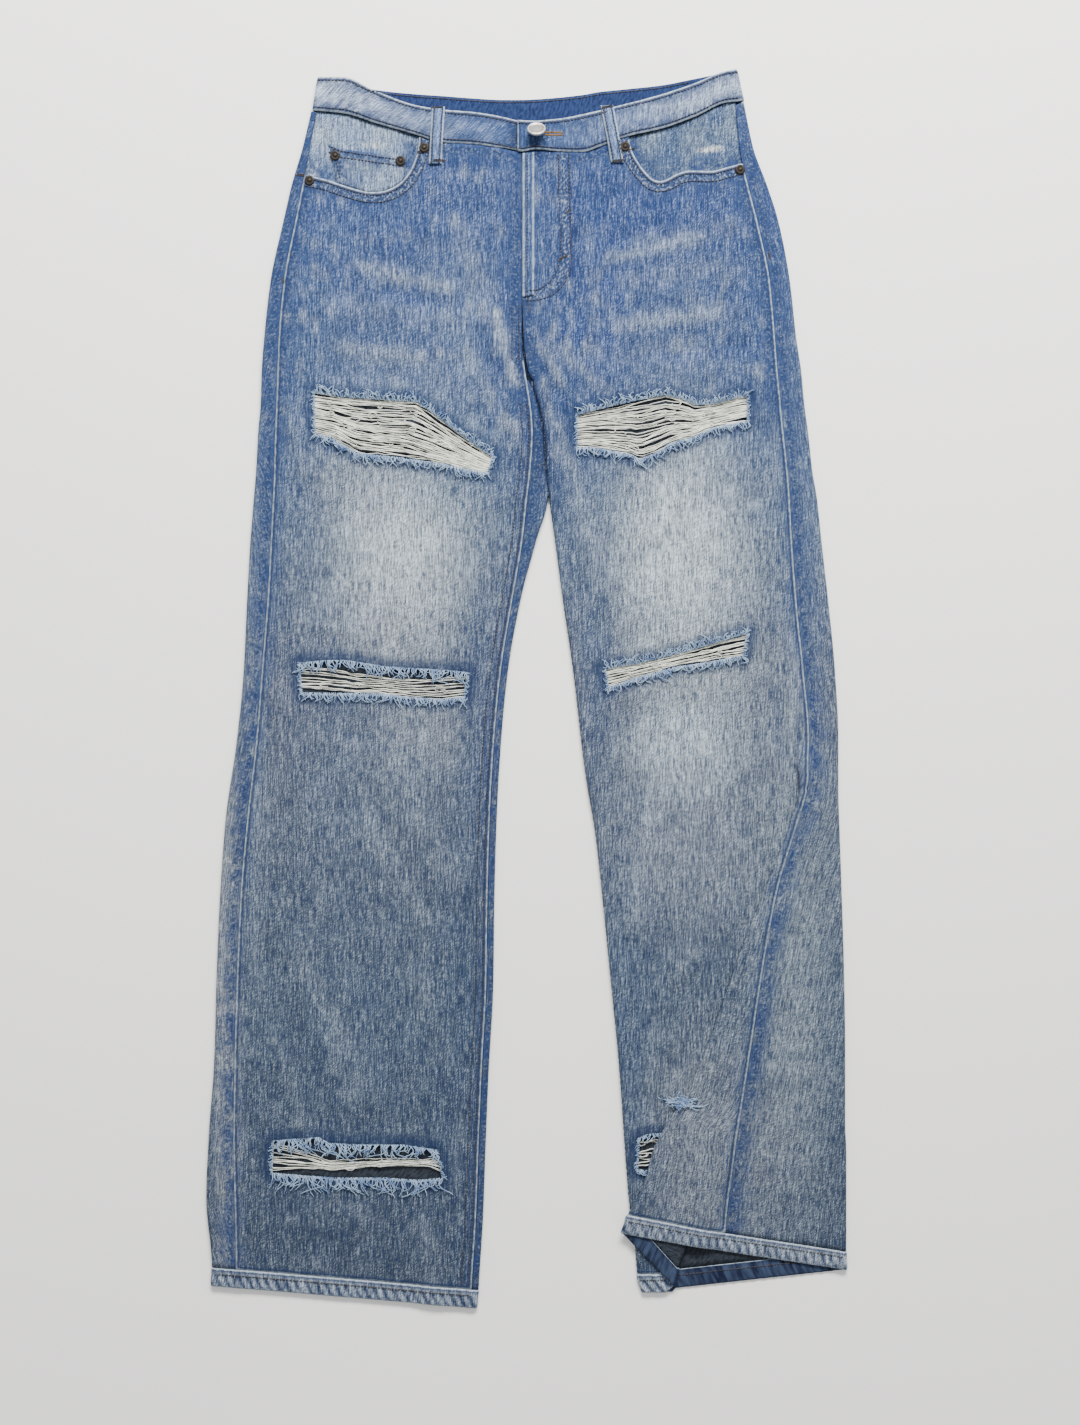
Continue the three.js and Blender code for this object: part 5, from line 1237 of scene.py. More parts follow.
def hem_piece(side, middle, rows_y, deep, pale):
    rows, count = middle.shape[:2]
    closed = np.concatenate([middle, middle[:, :1]], 1)
    along = run_length(closed)[:, :-1]
    from_edge = rows_y - rows_y.min()
    rope = np.sin((along + from_edge[:, None] * ROPE_SLANT) * 2 * math.pi / ROPE_PITCH
                  + 1.4 * ripples(along, from_edge[:, None], 60, 91))
    faces = grid_faces(rows, count, ring=True)
    points = middle.reshape(-1, 3)
    edge = np.repeat(from_edge, count)
    relief = (0.24 * rope + 0.14 * ripples(along, from_edge[:, None], 7, 92)).ravel()
    relief += 0.5 * smooth(HEM_STITCH - 1, HEM_STITCH + 2, edge) * smooth(HEM_WIDE, HEM_WIDE - 2, edge)
    points = points + normals_of(points, faces) * relief[:, None]
    x, y = points[:, 0], points[:, 1]
    ribs = np.where(edge < HEM_STITCH, 0.52, 0.22) * rope.ravel()
    share = 0.42 + ribs + 0.22 * ripples(x, y, 16, 93) + 0.3 * smooth(HEM_STITCH, HEM_STITCH + 2, edge)
    share = np.clip(np.maximum(share, 1.0 - edge / 1.4), 0, 1)
    tint = mix(dye_of(deep), dye_of(pale), share[:, None])
    thickness = HEM * (1 - 0.55 * np.exp(-(edge / 1.5) ** 2))
    flat = np.stack([along.ravel(), edge], -1)
    piece = cloth_wall(f"cloth_hem_{side}", flat, faces, points, thickness, (denim, inside_blue_hem, denim),
                       {"ridge_mm": HEM_WIDE - edge + 0.3}, tint)
    dress(piece, "denim", f"hem_{side}")
    grid_faces(rows, count + 1)


inside_blue_hem = twill_wrong_side("hem_inside_indigo_twill", "#313d54", "#070e28", 5.0, 30.0, 0.15)
hem_right_rows = np.linspace(-510, -526, HEM_ROWS)
front_share = np.linspace(0, 1, 76)[1:-1]
hem_stations = stations(3, 8, 70, 8, 8)


def hem_height(x, y):
    return np.maximum(front_height("right", x, y), 1.5 * HEM + SEAM_GAP)


y = hem_right_rows[:, None]
front_x = mix(right_seam(y), right_inner(y), front_share)
front_part = np.stack([front_x, y - hem_slant(front_x, y), hem_height(front_x, y)], -1)
around_part = right_back_place(np.broadcast_to(hem_stations, (HEM_ROWS, len(hem_stations))), y, HEM,
                               HEM / 2, hem_height)
hem_piece("right", np.concatenate([front_part, around_part], 1), hem_right_rows, "#2a354b", "#87929f")

hem_left_rows = np.linspace(-516, -532, HEM_ROWS)
front_stations = stations(50, 8, 20, 8, 24)
back_stations = stations(28, 8, 54)[1:-1]


def left_front_across(station, row, cloth, floor):
    turn, start, flat, _, end, _ = tuck_lines(row)
    marks = [left_start_across(row, cloth, floor), start, start + FOLD_RADIUS * turn,
             start + FOLD_RADIUS * turn + flat, start + 2 * FOLD_RADIUS * turn + flat, left_seam_across(row)]
    across = marks[0]
    for k in range(5):
        across = across + (marks[k + 1] - marks[k]) * np.clip(station - k, 0, 1)
    return across


y = np.broadcast_to(hem_left_rows[:, None], (HEM_ROWS, len(front_stations)))
front_part = left_front_place(left_front_across(front_stations, y, HEM, HEM / 2), y, HEM, HEM / 2)
y = np.broadcast_to(hem_left_rows[:, None], (HEM_ROWS, len(back_stations)))
back_part = left_back_place(np.broadcast_to(back_stations, y.shape), y, HEM, HEM / 2)
hem_piece("left", np.concatenate([front_part, back_part], 1), hem_left_rows, "#2a3549", "#8c96a1")

# Back pockets
# Two five-cornered patch pockets are sewn under the seat, so the garment lies on them.
POCKET_CORNERS = [(38, 398), (172, 404), (166, 286), (103, 258), (44, 282)]
for side, sign in (("right", -1), ("left", 1)):
    corners = np.array([(sign * px, py) for px, py in POCKET_CORNERS], float)
    laid_piece(f"cloth_back_pocket_{side}", corners, lambda x, y: np.full(len(x), 0.475), 0.95,
               f"back_pocket_{side}", step=5, under=True,
               tint=lambda x, y: faded(x, y, "#64758f", "#4b5d7c", 76))

# Belt loops
# Narrow strips of denim folded in three, standing off the band and sewn down at both ends. Two show on the
# front, and the three on the back lie under the garment.
LOOP = {"wide": 11.0, "long": 50.0, "thick": 1.4}
FRONT_LOOPS = {"right": (-80.5, -3), "left": (73.5, 9)}  # x, lean
BACK_LOOPS = {"right": -80, "centre": 0, "left": 84}
LOOP_STEPS, LOOP_ACROSS = 34, 9
for name, (loop_x, lean) in FRONT_LOOPS.items():
    t = np.linspace(0, 1, LOOP_STEPS)[:, None]
    w = np.linspace(-0.5, 0.5, LOOP_ACROSS)
    top = waist_top(loop_x) + 1.5
    y = top - LOOP["long"] * t
    middle_x = loop_x + lean * (t - 0.5)
    over_band = mix(BAND_TOP, BAND_SEAM, np.clip((waist_top(loop_x) - y) / BAND_WIDTH, 0, 1)) + BAND / 2
    on_cloth = front_height(name, middle_x, y) + CLOTH / 2 + 0.9 * smooth(-12, -4, y - waist_seam(loop_x))
    under = mix(on_cloth, over_band, smooth(-5, -3, y - waist_seam(loop_x)))
    rise = under + SEAM_GAP + LOOP["thick"] / 2 + 0.8 * np.sin(math.pi * t)
    shape = 0.28 * (np.cos(w * 4 * math.pi) * -0.5 + 0.5) - 0.5 * (2 * w) ** 6
    grid = np.broadcast_arrays(middle_x + w * LOOP["wide"], y, rise + shape * 0.6)
    middle = np.stack(grid, -1)
    flat = np.stack(np.broadcast_arrays(w * LOOP["wide"], -LOOP["long"] * t), -1).reshape(-1, 2)
    faces = grid_faces(LOOP_STEPS, LOOP_ACROSS)
    edge = LOOP["wide"] / 2 - np.abs(flat[:, 0])
    tint = faded(flat[:, 0], flat[:, 1], "#60728f", "#3f5377", 77)
    loop = cloth_wall(f"cloth_loop_front_{name}", flat, faces, middle.reshape(-1, 3), LOOP["thick"] * 0.9,
                      (denim, denim, denim), {"ridge_mm": edge + 0.2}, tint)
    dress(loop, "denim", f"loop_front_{name}")
for name, loop_x in BACK_LOOPS.items():
    top = back_top(loop_x) - 0.5
    half = LOOP["wide"] / 2
    corners = np.array([(loop_x - half, top - LOOP["long"]), (loop_x + half, top - LOOP["long"]),
                        (loop_x + half, top), (loop_x - half, top)])
    laid_piece(f"cloth_loop_back_{name}", corners, lambda x, y: np.full(len(x), 0.5), 1.0,
               f"loop_back_{name}",
               step=2.5, under=True, tint=lambda x, y: faded(x, y, "#65768f", "#4e607e", 78))

# Torn yarns
# Across each rip the white weft yarns are left, most of them slack and bunched, with thin dark gaps. The
# blue warp yarns are cut at both edges and have frayed and curled into a fringe.
RIPS = {**{name: ("right", *edges) for name, edges in RIPS_RIGHT.items()},
        **{name: ("left", *edges) for name, edges in RIPS_LEFT.items()}}
WEFT = {"thigh_right": 46, "thigh_left": 42, "knee_right": 11, "knee_left": 17, "shin_right": 11,
        "shin_left": 9}
SPREAD = {  # how far the yarns spread, and where they run between the edges, along the rip
    "knee_right": [(0, 0.9, 0.5), (0.3, 0.62, 0.66), (0.7, 0.62, 0.66), (1, 0.8, 0.5)],
    "shin_right": [(0, 1.0, 0.5), (0.3, 0.32, 0.66), (0.75, 0.24, 0.5), (0.92, 0.2, 0.46), (1, 0.7, 0.5)],
}
EVEN_SPREAD = [(0, 1.0, 0.5), (1, 1.0, 0.5)]
FRINGE = {  # length up from the upper edge or down from it, length down from the lower edge
    "thigh_right": (8, 10), "thigh_left": (8, 10), "knee_right": (-12, 10), "knee_left": (8, 9),
    "shin_right": (-15, 16), "shin_left": (-7, 7)}
FRINGE_PITCH = 1.15


def strand_tree():
    """Yarns along the edges of a mesh: each is crimped by noise and swept as a thin four sided tube."""
    tree = bpy.data.node_groups.new("torn_yarns", "GeometryNodeTree")
    face = tree.interface
    face.new_socket("Paths", in_out="INPUT", socket_type="NodeSocketGeometry")
    for name in ("Crimp", "Crimp size"):
        face.new_socket(name, in_out="INPUT", socket_type="NodeSocketFloat")
    face.new_socket("Yarn", in_out="INPUT", socket_type="NodeSocketMaterial")
    face.new_socket("Yarns", in_out="OUTPUT", socket_type="NodeSocketGeometry")
    given = add(tree, "NodeGroupInput").outputs
    lines = add(tree, "GeometryNodeMeshToCurve", {"Mesh": given["Paths"]})
    place = add(tree, "GeometryNodeInputPosition").outputs["Position"]
    strand, free, thick = (add(tree, "GeometryNodeInputNamedAttribute", {"Name": name}, data_type="FLOAT")
                           .outputs["Attribute"] for name in ("strand", "free", "thick"))
    scale = add(tree, "ShaderNodeMath", {0: 1.0, 1: given["Crimp size"]}, operation="DIVIDE").outputs["Value"]
    noise = add(tree, "ShaderNodeTexNoise", {"Vector": place, "W": strand, "Scale": scale, "Detail": 1.0},
                noise_dimensions="4D")
    centred = add(tree, "ShaderNodeVectorMath", {0: noise.outputs["Color"], 1: (0.5, 0.5, 0.42)},
                  operation="SUBTRACT")
    size = add(tree, "ShaderNodeMath", {0: given["Crimp"], 1: free}, operation="MULTIPLY").outputs["Value"]
    moved = add(tree, "ShaderNodeVectorMath", {0: centred.outputs["Vector"], "Scale": size},
                operation="SCALE")
    crimped = add(tree, "GeometryNodeSetPosition", {"Geometry": lines.outputs["Curve"],
                                                    "Offset": moved.outputs["Vector"]})
    section = add(tree, "GeometryNodeCurvePrimitiveCircle", {"Resolution": 4, "Radius": 1.0})
    tube = add(tree, "GeometryNodeCurveToMesh", {"Curve": crimped.outputs["Geometry"], "Scale": thick,
                                                 "Profile Curve": section.outputs["Curve"],
                                                 "Fill Caps": True})
    soft = add(tree, "GeometryNodeSetShadeSmooth", {"Geometry": tube.outputs["Mesh"]})
    real = add(tree, "GeometryNodeRealizeInstances", {"Geometry": soft.outputs["Geometry"]})
    done = add(tree, "GeometryNodeSetMaterial",
               {"Geometry": real.outputs["Geometry"], "Material": given["Yarn"]})
    add(tree, "NodeGroupOutput", {"Yarns": done.outputs["Geometry"]})
    return tree


def path_mesh(name, paths, marks):
    """Paths as open runs of edges, each an array of points in millimetres, with marks at each point."""
    points = np.concatenate(paths)
    edges, start = [], 0
    for path in paths:
        edges += [(start + k, start + k + 1) for k in range(len(path) - 1)]
        start += len(path)
    mesh = bpy.data.meshes.new(name)
    mesh.from_pydata(world(points).tolist(), edges, [])
    for mark, values in marks.items():
        mesh.attributes.new(mark, "FLOAT", "POINT").data.foreach_set("value", np.concatenate(values))
    return mesh


def grown(name, mesh, tree, **inputs):
    """A plain mesh of what a tree makes from paths."""
    holder = placed(name, mesh)
    maker = holder.modifiers.new("maker", "NODES")
    maker.node_group = tree
    sockets = {item.name: item.identifier for item in tree.interface.items_tree if item.in_out == "INPUT"}
    for key, value in inputs.items():
        maker[sockets[key.replace("_", " ")]] = value
    ready = holder.evaluated_get(bpy.context.evaluated_depsgraph_get())
    result = bpy.data.meshes.new_from_object(ready)
    result.name = name
    holder.modifiers.remove(maker)
    holder.data = result
    return holder


def raw_cotton(name, pale, deep, bright):
    # Undyed cotton singles, greyed by wear: matt and fluffy, darker between the fibres.
    material, tree = blank_material(name)
    spot = add(tree, "ShaderNodeTexCoord").outputs["Object"]
    patch = add(tree, "ShaderNodeTexNoise", {"Vector": spot, "Scale": 130.0, "Detail": 3.0}).outputs["Fac"]
    fibre = add(tree, "ShaderNodeTexNoise", {"Vector": spot, "Scale": 900.0, "Detail": 2.0}).outputs["Fac"]
    tone = toward(tree, linear(pale), band(tree, patch, 0.42, 0.66), linear(deep))
    tone = toward(tree, tone, band(tree, fibre, 0.5, 0.75, 0.0, 0.6), linear(bright))
    finished(tree, tone, fibre, 0.6, 0.0003, Roughness=0.95, Specular_IOR_Level=0.15, Sheen_Weight=0.2)
    return material


weft_white = raw_cotton("weft_yarn_undyed_cotton", "#d8d9cf", "#a9aba2", "#ecece3")
warp_blue = raw_cotton("warp_yarn_frayed_indigo", "#859db8", "#496691", "#c1ced9")
yarns = strand_tree()


def cloth_height(side, x, y):
    return lower_height(x, y) if side == "left" else front_height(side, x, y)


def along(line, share):
    line = np.array(line, float)
    lengths = np.concatenate([[0], np.cumsum(np.linalg.norm(np.diff(line, axis=0), axis=1))])
    return np.stack([np.interp(np.asarray(share) * lengths[-1], lengths, line[:, k]) for k in range(2)], -1)


def weft_paths(name, rng):
    """Slack yarns between the ends of a rip. Some wander from one side of the gap to the other."""
    side, upper, lower = RIPS[name]
    upper, lower = np.array(upper, float), np.array(lower, float)
    paths, marks = [], {"strand": [], "free": [], "thick": []}
    count = WEFT[name]
    bunch = ripples(np.linspace(0, 1, count) * 40, np.zeros(count), 9, sum(map(ord, name))) * 0.03
    steps = 30
    t = np.linspace(0, 1, steps)
    places, widths, middles = np.array(SPREAD.get(name, EVEN_SPREAD)).T
    for k in range(count):
        level = (k + 0.5) / count + bunch[k]
        drift = rng.normal(0, 0.045)
        sag = rng.normal(0.0, 0.05)
        high, low = along(upper, t), along(lower, t)
        share = np.clip(level + drift * (2 * t - 1) + sag * 4 * t * (1 - t)
                        + 0.02 * np.sin(t * rng.uniform(4, 14) + rng.uniform(0, 6)), -0.04, 1.04)
        share = np.interp(t, places, middles) + (share - 0.5) * np.interp(t, places, widths)
        flat = mix(high, low, share[:, None])
        flat[:, 0] += np.where(t < 0.5, -1, 1) * 3.5 * np.abs(2 * t - 1) ** 6
        depth = -CLOTH / 2 - 0.55 + 0.45 * np.sin(t * 9 + k) * (4 * t * (1 - t))
        z = cloth_height(side, flat[:, 0], flat[:, 1]) + depth + rng.uniform(-0.25, 0.35)
        paths.append(np.c_[flat, z])
        marks["strand"].append(np.full(steps, k * 3.7))
        marks["free"].append(0.25 + 0.75 * np.minimum(1, 6 * t * (1 - t)))
        marks["thick"].append(np.full(steps, rng.uniform(0.00030, 0.00058)))
    for k in range(count // 2):  # loose ends that have curled over into loops
        at, level = rng.uniform(0.06, 0.94), rng.uniform(0.1, 0.9)
        place = mix(along(upper, at), along(lower, at), np.interp(at, places, middles)
                    + (level - 0.5) * np.interp(at, places, widths))
        turn = np.linspace(0, rng.uniform(2.5, 6.5), steps) + rng.uniform(0, 6)
        size = rng.uniform(0.9, 2.6) * np.linspace(0.6, 1.4, steps)
        loop = place + np.stack([1.7 * size * np.cos(turn), 0.8 * size * np.sin(turn)], -1)
        paths.append(np.c_[loop, cloth_height(side, loop[:, 0], loop[:, 1]) + rng.uniform(0.0, 0.7)])
        marks["strand"].append(np.full(steps, 100 + k * 2.1))
        marks["free"].append(np.full(steps, 0.5))
        marks["thick"].append(np.full(steps, rng.uniform(0.00026, 0.00042)))
    return paths, marks


def fringe_paths(name, line, way, rng):
    """Frayed ends rooted along a torn edge, curling as they go the given way from it, in tufts."""
    side = RIPS[name][0]
    line = np.array(line, float)
    count = max(3, int(np.linalg.norm(np.diff(line, axis=0), axis=1).sum() / FRINGE_PITCH))
    long = np.linalg.norm(way)
    ahead = np.array(way) / long
    across = np.array([-ahead[1], ahead[0]])
    steps = 9
    t = np.linspace(0, 1, steps)
    tuft = ripples(np.arange(count), np.zeros(count), 7, int(rng.integers(900)))
    paths, marks = [], {"strand": [], "free": [], "thick": []}
    for k in range(count):
        root = along(line, (k + rng.uniform(0.1, 0.9)) / count)
        size = long * rng.uniform(0.4, 1.15) * (1 + 0.25 * tuft[k])
        lean = (0.45 * tuft[k] + rng.normal(0, 0.25)) * size
        curl = rng.normal(0, 0.22) * size
        reach = (size * (t - rng.uniform(0.0, 0.35) * t**3) - 0.9)[:, None]
        sway = lean * t**1.3 + curl * np.sin(t * rng.uniform(3, 5))
        place = root + ahead * reach + across * sway[:, None]
        lift = CLOTH / 2 + 0.3 + (0.6 + 1.2 * rng.uniform()) * np.sin(t * math.pi * 0.9) * min(1, size / 6)
        paths.append(np.c_[place, cloth_height(side, place[:, 0], place[:, 1]) + lift])
        marks["strand"].append(np.full(steps, 200 + k * 2.3))
        marks["free"].append(t)
        marks["thick"].append(mix(0.00050, 0.00030, t) * rng.uniform(0.75, 1.2))
    return paths, marks


for number, (name, (side, upper, lower)) in enumerate(RIPS.items()):
    rng = np.random.default_rng(700 + number)
    paths, marks = weft_paths(name, rng)
    weft = grown(f"yarns_across_{name}", path_mesh("weft", paths, marks), yarns,
                 Crimp=0.0040, Crimp_size=0.009, Yarn=weft_white)
    dress(weft, "yarn_white", f"yarns_{name}")
    up, down = FRINGE[name]
    paths, marks = [], {"strand": [], "free": [], "thick": []}
    for line, way in ((upper, (0, up)), (lower, (0, -down)), ((upper[0], lower[0]), (-4, 0)),
                      ((upper[-1], lower[-1]), (4, 0))):
        more_paths, more_marks = fringe_paths(name, line, way, rng)
        paths += more_paths
        for key in marks:
            marks[key] += more_marks[key]
    fringe = grown(f"fringe_{name}", path_mesh("fringe", paths, marks), yarns,
                   Crimp=0.0058, Crimp_size=0.0038, Yarn=warp_blue)
    nodes = [f"fray_upper_{name}"] + ([] if name == "shin_left" else [f"fray_lower_{name}"])
    dress(fringe, "yarn_blue", *nodes)

# Top stitching
# Every seam is sewn with thick cotton thread, now greyed almost to the cloth's own colour: two rows on
# the pocket mouths, the inseam and the fly's curve, one on the band's edges, the hems and the loops. Short
# dense bars tie off the fly, the loops and the pocket corners.
STITCH = {"pitch": 0.0030, "long": 0.0026, "thick": 0.00115}
BAR = {"pitch": 0.0007, "long": 0.0016, "thick": 0.0006}


def top_surface(names):
    """Finds the height of the uppermost of some pieces of cloth."""
    points, faces = [], []
    for name in names:
        mesh = bpy.data.objects[name].data
        start = len(points)
        points += [vertex.co.copy() for vertex in mesh.vertices]
        faces += [[start + index for index in polygon.vertices] for polygon in mesh.polygons]
    tree = BVHTree.FromPolygons(points, faces)

    def height(x, y, from_above=True):
        start = world([x, y, 60.0 if from_above else -60.0])[0]
        hit = tree.ray_cast(Vector(start), Vector((0, 0, -1.0 if from_above else 1.0)))[0]
        return None if hit is None else hit.z * 1000

    return height


CLOTH_NAMES = [item.name for item in bpy.data.objects if item.name.startswith("cloth_")]
surface = top_surface(CLOTH_NAMES)


def sewn_lines(line, lift=0.3, from_above=True, step=1.5):
    """A line across the garment laid on the cloth, broken where it would leave it or drop a layer."""
    runs, run = [], []
    for x, y in resample(line, step).tolist():
        z = surface(x, y, from_above)
        dropped = z is None or (run and abs(z - run[-1][2]) > 1.6)
        if dropped and run:
            runs.append(np.array(run))
            run = []
        if z is not None:
            run.append((x, y, z + (lift if from_above else -lift)))
    if run:
        runs.append(np.array(run))
    return [each for each in runs if len(each) > 3]


def stitch_tree():
    """A short round-ended stitch at every pitch along the paths, lying along them."""
    tree = bpy.data.node_groups.new("stitches", "GeometryNodeTree")
    face = tree.interface
    face.new_socket("Paths", in_out="INPUT", socket_type="NodeSocketGeometry")
    for name in ("Pitch", "Length", "Thickness"):
        face.new_socket(name, in_out="INPUT", socket_type="NodeSocketFloat")
    face.new_socket("Thread", in_out="INPUT", socket_type="NodeSocketMaterial")
    face.new_socket("Stitches", in_out="OUTPUT", socket_type="NodeSocketGeometry")
    given = add(tree, "NodeGroupInput").outputs
    lines = add(tree, "GeometryNodeMeshToCurve", {"Mesh": given["Paths"]})
    spots = add(tree, "GeometryNodeCurveToPoints",
                {"Curve": lines.outputs["Curve"], "Length": given["Pitch"]},
                mode="LENGTH")
    bead = add(tree, "GeometryNodeMeshUVSphere", {"Segments": 6, "Rings": 5, "Radius": 0.5})
    size = add(tree, "ShaderNodeCombineXYZ", {"X": given["Length"], "Y": given["Thickness"],
                                              "Z": given["Thickness"]})
    aimed = add(tree, "FunctionNodeAlignRotationToVector", {"Vector": spots.outputs["Tangent"]}, axis="X")
    laid = add(tree, "GeometryNodeInstanceOnPoints", {
        "Points": spots.outputs["Points"], "Instance": bead.outputs["Mesh"],
        "Rotation": aimed.outputs["Rotation"], "Scale": size.outputs["Vector"]})
    real = add(tree, "GeometryNodeRealizeInstances", {"Geometry": laid.outputs["Instances"]})
    soft = add(tree, "GeometryNodeSetShadeSmooth", {"Geometry": real.outputs["Geometry"]})
    done = add(tree, "GeometryNodeSetMaterial",
               {"Geometry": soft.outputs["Geometry"], "Material": given["Thread"]})
    add(tree, "NodeGroupOutput", {"Stitches": done.outputs["Geometry"]})
    return tree


def cotton_thread(name, pale, deep):
    # Thick spun thread, washed out and a little fluffy.
    material, tree = blank_material(name)
    spot = add(tree, "ShaderNodeTexCoord").outputs["Object"]
    worn = add(tree, "ShaderNodeTexNoise", {"Vector": spot, "Scale": 160.0, "Detail": 3.0}).outputs["Fac"]
    tone = toward(tree, linear(pale), band(tree, worn, 0.4, 0.62), linear(deep))
    shader = add(tree, "ShaderNodeBsdfPrincipled", {"Base Color": tone, "Roughness": 0.85,
                                                    "Specular IOR Level": 0.3, "Sheen Weight": 0.15})
    add(tree, "ShaderNodeOutputMaterial", {"Surface": shader.outputs["BSDF"]})
    return material


def across_band(r, x1, x2, edge_low, edge_top):
    x = np.linspace(x1, x2, 120)
    return np.stack([x, mix(edge_low(x), edge_top(x), r)], -1)


def straight(x1, y1, x2, y2):
    return np.array([(x1, y1), (x2, y2)], float)


LOOP_STITCH = 3.6  # from the middle of a belt loop to each of its rows of stitches


def grey_lines():
    lines = []
    for mouth, sign in ((right_mouth, -1), (left_mouth, 1)):
        lines += [beside(mouth, sign * away) for away in (2.6, 9.0)]
    for curve_points in (FLY_CURVE_INNER, FLY_CURVE_OUTER):
        lines.append(rounded(curve_points, 60))
    lines.append(straight(-1.0, 346, -1.0, 468))
    rows = np.linspace(250, -505, 160)
    for away in (3.5, 9.5):
        x = right_inner(rows) - away
        lines.append(np.stack([x, rows - hem_slant(x, rows)], -1))
    rows = np.linspace(465, 290, 40)
    for away in (2.5, 8.5):
        lines.append(np.stack([-6 - away + 0 * rows, rows], -1)[rows < 335])
    for x1, x2 in ((-184, -87), (-74, -10), (-8, 68), (80, 183)):
        for r in (0.10, 0.90):
            lines.append(across_band(r, x1, x2, waist_seam, waist_top))
    lines.append(across_band(0.93, -150, 140, back_seam, back_top))
    row = hem_right_rows[-1] + HEM_STITCH
    x = np.linspace(-272, -54, 90)
    lines.append(np.stack([x, row - hem_slant(x, np.full(90, row))], -1))
    coin = np.array(COIN_TOP)
    lines += [coin - (0, 2.2), coin - (0, 7.5), straight(-171.6, 474, -166, 450)]
    for loop_x, lean in FRONT_LOOPS.values():
        top = waist_top(loop_x)
        for side in (-LOOP_STITCH, LOOP_STITCH):
            lines.append(straight(loop_x - lean / 2 + side, top, loop_x + lean / 2 + side,
                                  top - LOOP["long"] + 3))
    return [run for line in lines for run in sewn_lines(line)]


def left_hem_lines():
    places = []
    row = np.full(140, hem_left_rows[-1] + HEM_STITCH)
    for start in (0.02, 4.02):
        station = np.linspace(start, start + 0.96, 140)
        places.append(left_front_place(left_front_across(station, row, HEM, HEM / 2), row, HEM, HEM / 2))
    for start in (0.02, 2.02):
        places.append(left_back_place(np.linspace(start, start + 0.96, 140), row, HEM, HEM / 2))
    return [place + (0, 0, HEM / 2 + 0.1) for place in places]


def under_lines():
    lines = []
    for sign in (-1, 1):
        corners = np.array([(sign * px, py) for px, py in POCKET_CORNERS], float)
        middle = corners.mean(0)
        for inset in (0.975, 0.93):
            lines.append(middle + (closed_ring(corners) - middle) * inset)
    x = np.linspace(-185, 180, 90)
    lines += [np.stack([x, yoke_line(x) - 2.2], -1), np.stack([x, yoke_line(x) - 7.5], -1)]
    lines += [straight(-4, 280, -4, 420), straight(-9, 285, -9, 422)]
    for r in (0.1, 0.9):
        lines.append(across_band(r, -182, 180, back_seam, back_top))
    for loop_x in BACK_LOOPS.values():
        top = back_top(loop_x)
        for side in (-LOOP_STITCH, LOOP_STITCH):
            lines.append(straight(loop_x + side, top - 2, loop_x + side, top - LOOP["long"] + 2))
    return [run for line in lines for run in sewn_lines(line, -0.35, from_above=False)]


stitch_maker = stitch_tree()
grey_thread = cotton_thread("thread_greyed_brown_cotton", "#3a3330", "#202026")


def sewn(name, paths, kind):
    """Stitches of one kind, in grey thread, along paths."""
    stitches = grown(f"stitches_{name}", path_mesh("stitches", paths, {}), stitch_maker,
                     Pitch=kind["pitch"], Length=kind["long"], Thickness=kind["thick"], Thread=grey_thread)
    dress(stitches, "denim")


sewn("on_top", grey_lines() + left_hem_lines(), STITCH)
sewn("underneath", under_lines(), STITCH)

# Each bar tack runs from x, y to x, y.
BARS = [
    (-0.5, 330, -0.5, 341), (32.5, 417, 36.5, 421), (26.5, 376, 34, 380), (-85.5, 510, -76, 510),
    (-83.5, 463, -74, 463), (64.5, 509, 74, 511), (74, 462.5, 83, 463.5), (-97.5, 471, -93, 471),
    (88, 474, 93, 474), (-203, 451, -197, 450), (210.5, 382, 212.5, 377), (-217, 359.5, -215, 355),
]
bars = [run for bar in BARS for offset in (0.0, 0.8, 1.6)
        for run in sewn_lines(straight(bar[0] + offset * 0.3, bar[1] + offset, bar[2] + offset * 0.3,
                                       bar[3] + offset),
                              0.25, step=0.8)]
sewn("bar_tacks", bars, BAR)

# Torn tuft
# Where the tuck's fold has worn through, blue warp yarns have worked out of the edge into a flat curly tuft.
TUFT = {"x": 134, "y": -364, "count": 70, "long": 17, "flat": 0.5}
rng = np.random.default_rng(811)
paths, marks = [], {"strand": [], "free": [], "thick": []}
for k in range(TUFT["count"]):
    t = np.linspace(0, 1, 9)
    aim, size = rng.uniform(0, 2 * math.pi), TUFT["long"] * rng.uniform(0.35, 1.0)
    bend = aim + rng.normal(0, 1.1) * t
    x = TUFT["x"] + rng.normal(0, 4) + size * t * np.cos(bend)
    y = TUFT["y"] + rng.normal(0, 1.5) + size * t * np.sin(bend) * TUFT["flat"]
    heights = [surface(*place) for place in zip(x, y)]
    if None not in heights:
        paths.append(np.c_[x, y, np.maximum(heights, max(heights) - 1.0) + 0.4 + 0.8 * np.sin(t * 3)])
        marks["strand"].append(np.full(9, 500 + k * 2.3))
        marks["free"].append(t)
        marks["thick"].append(mix(0.00050, 0.00030, t))
tuft = grown("fringe_tuft", path_mesh("tuft", paths, marks), yarns, Crimp=0.0058, Crimp_size=0.0038,
             Yarn=warp_blue)
dress(tuft, "yarn_blue")

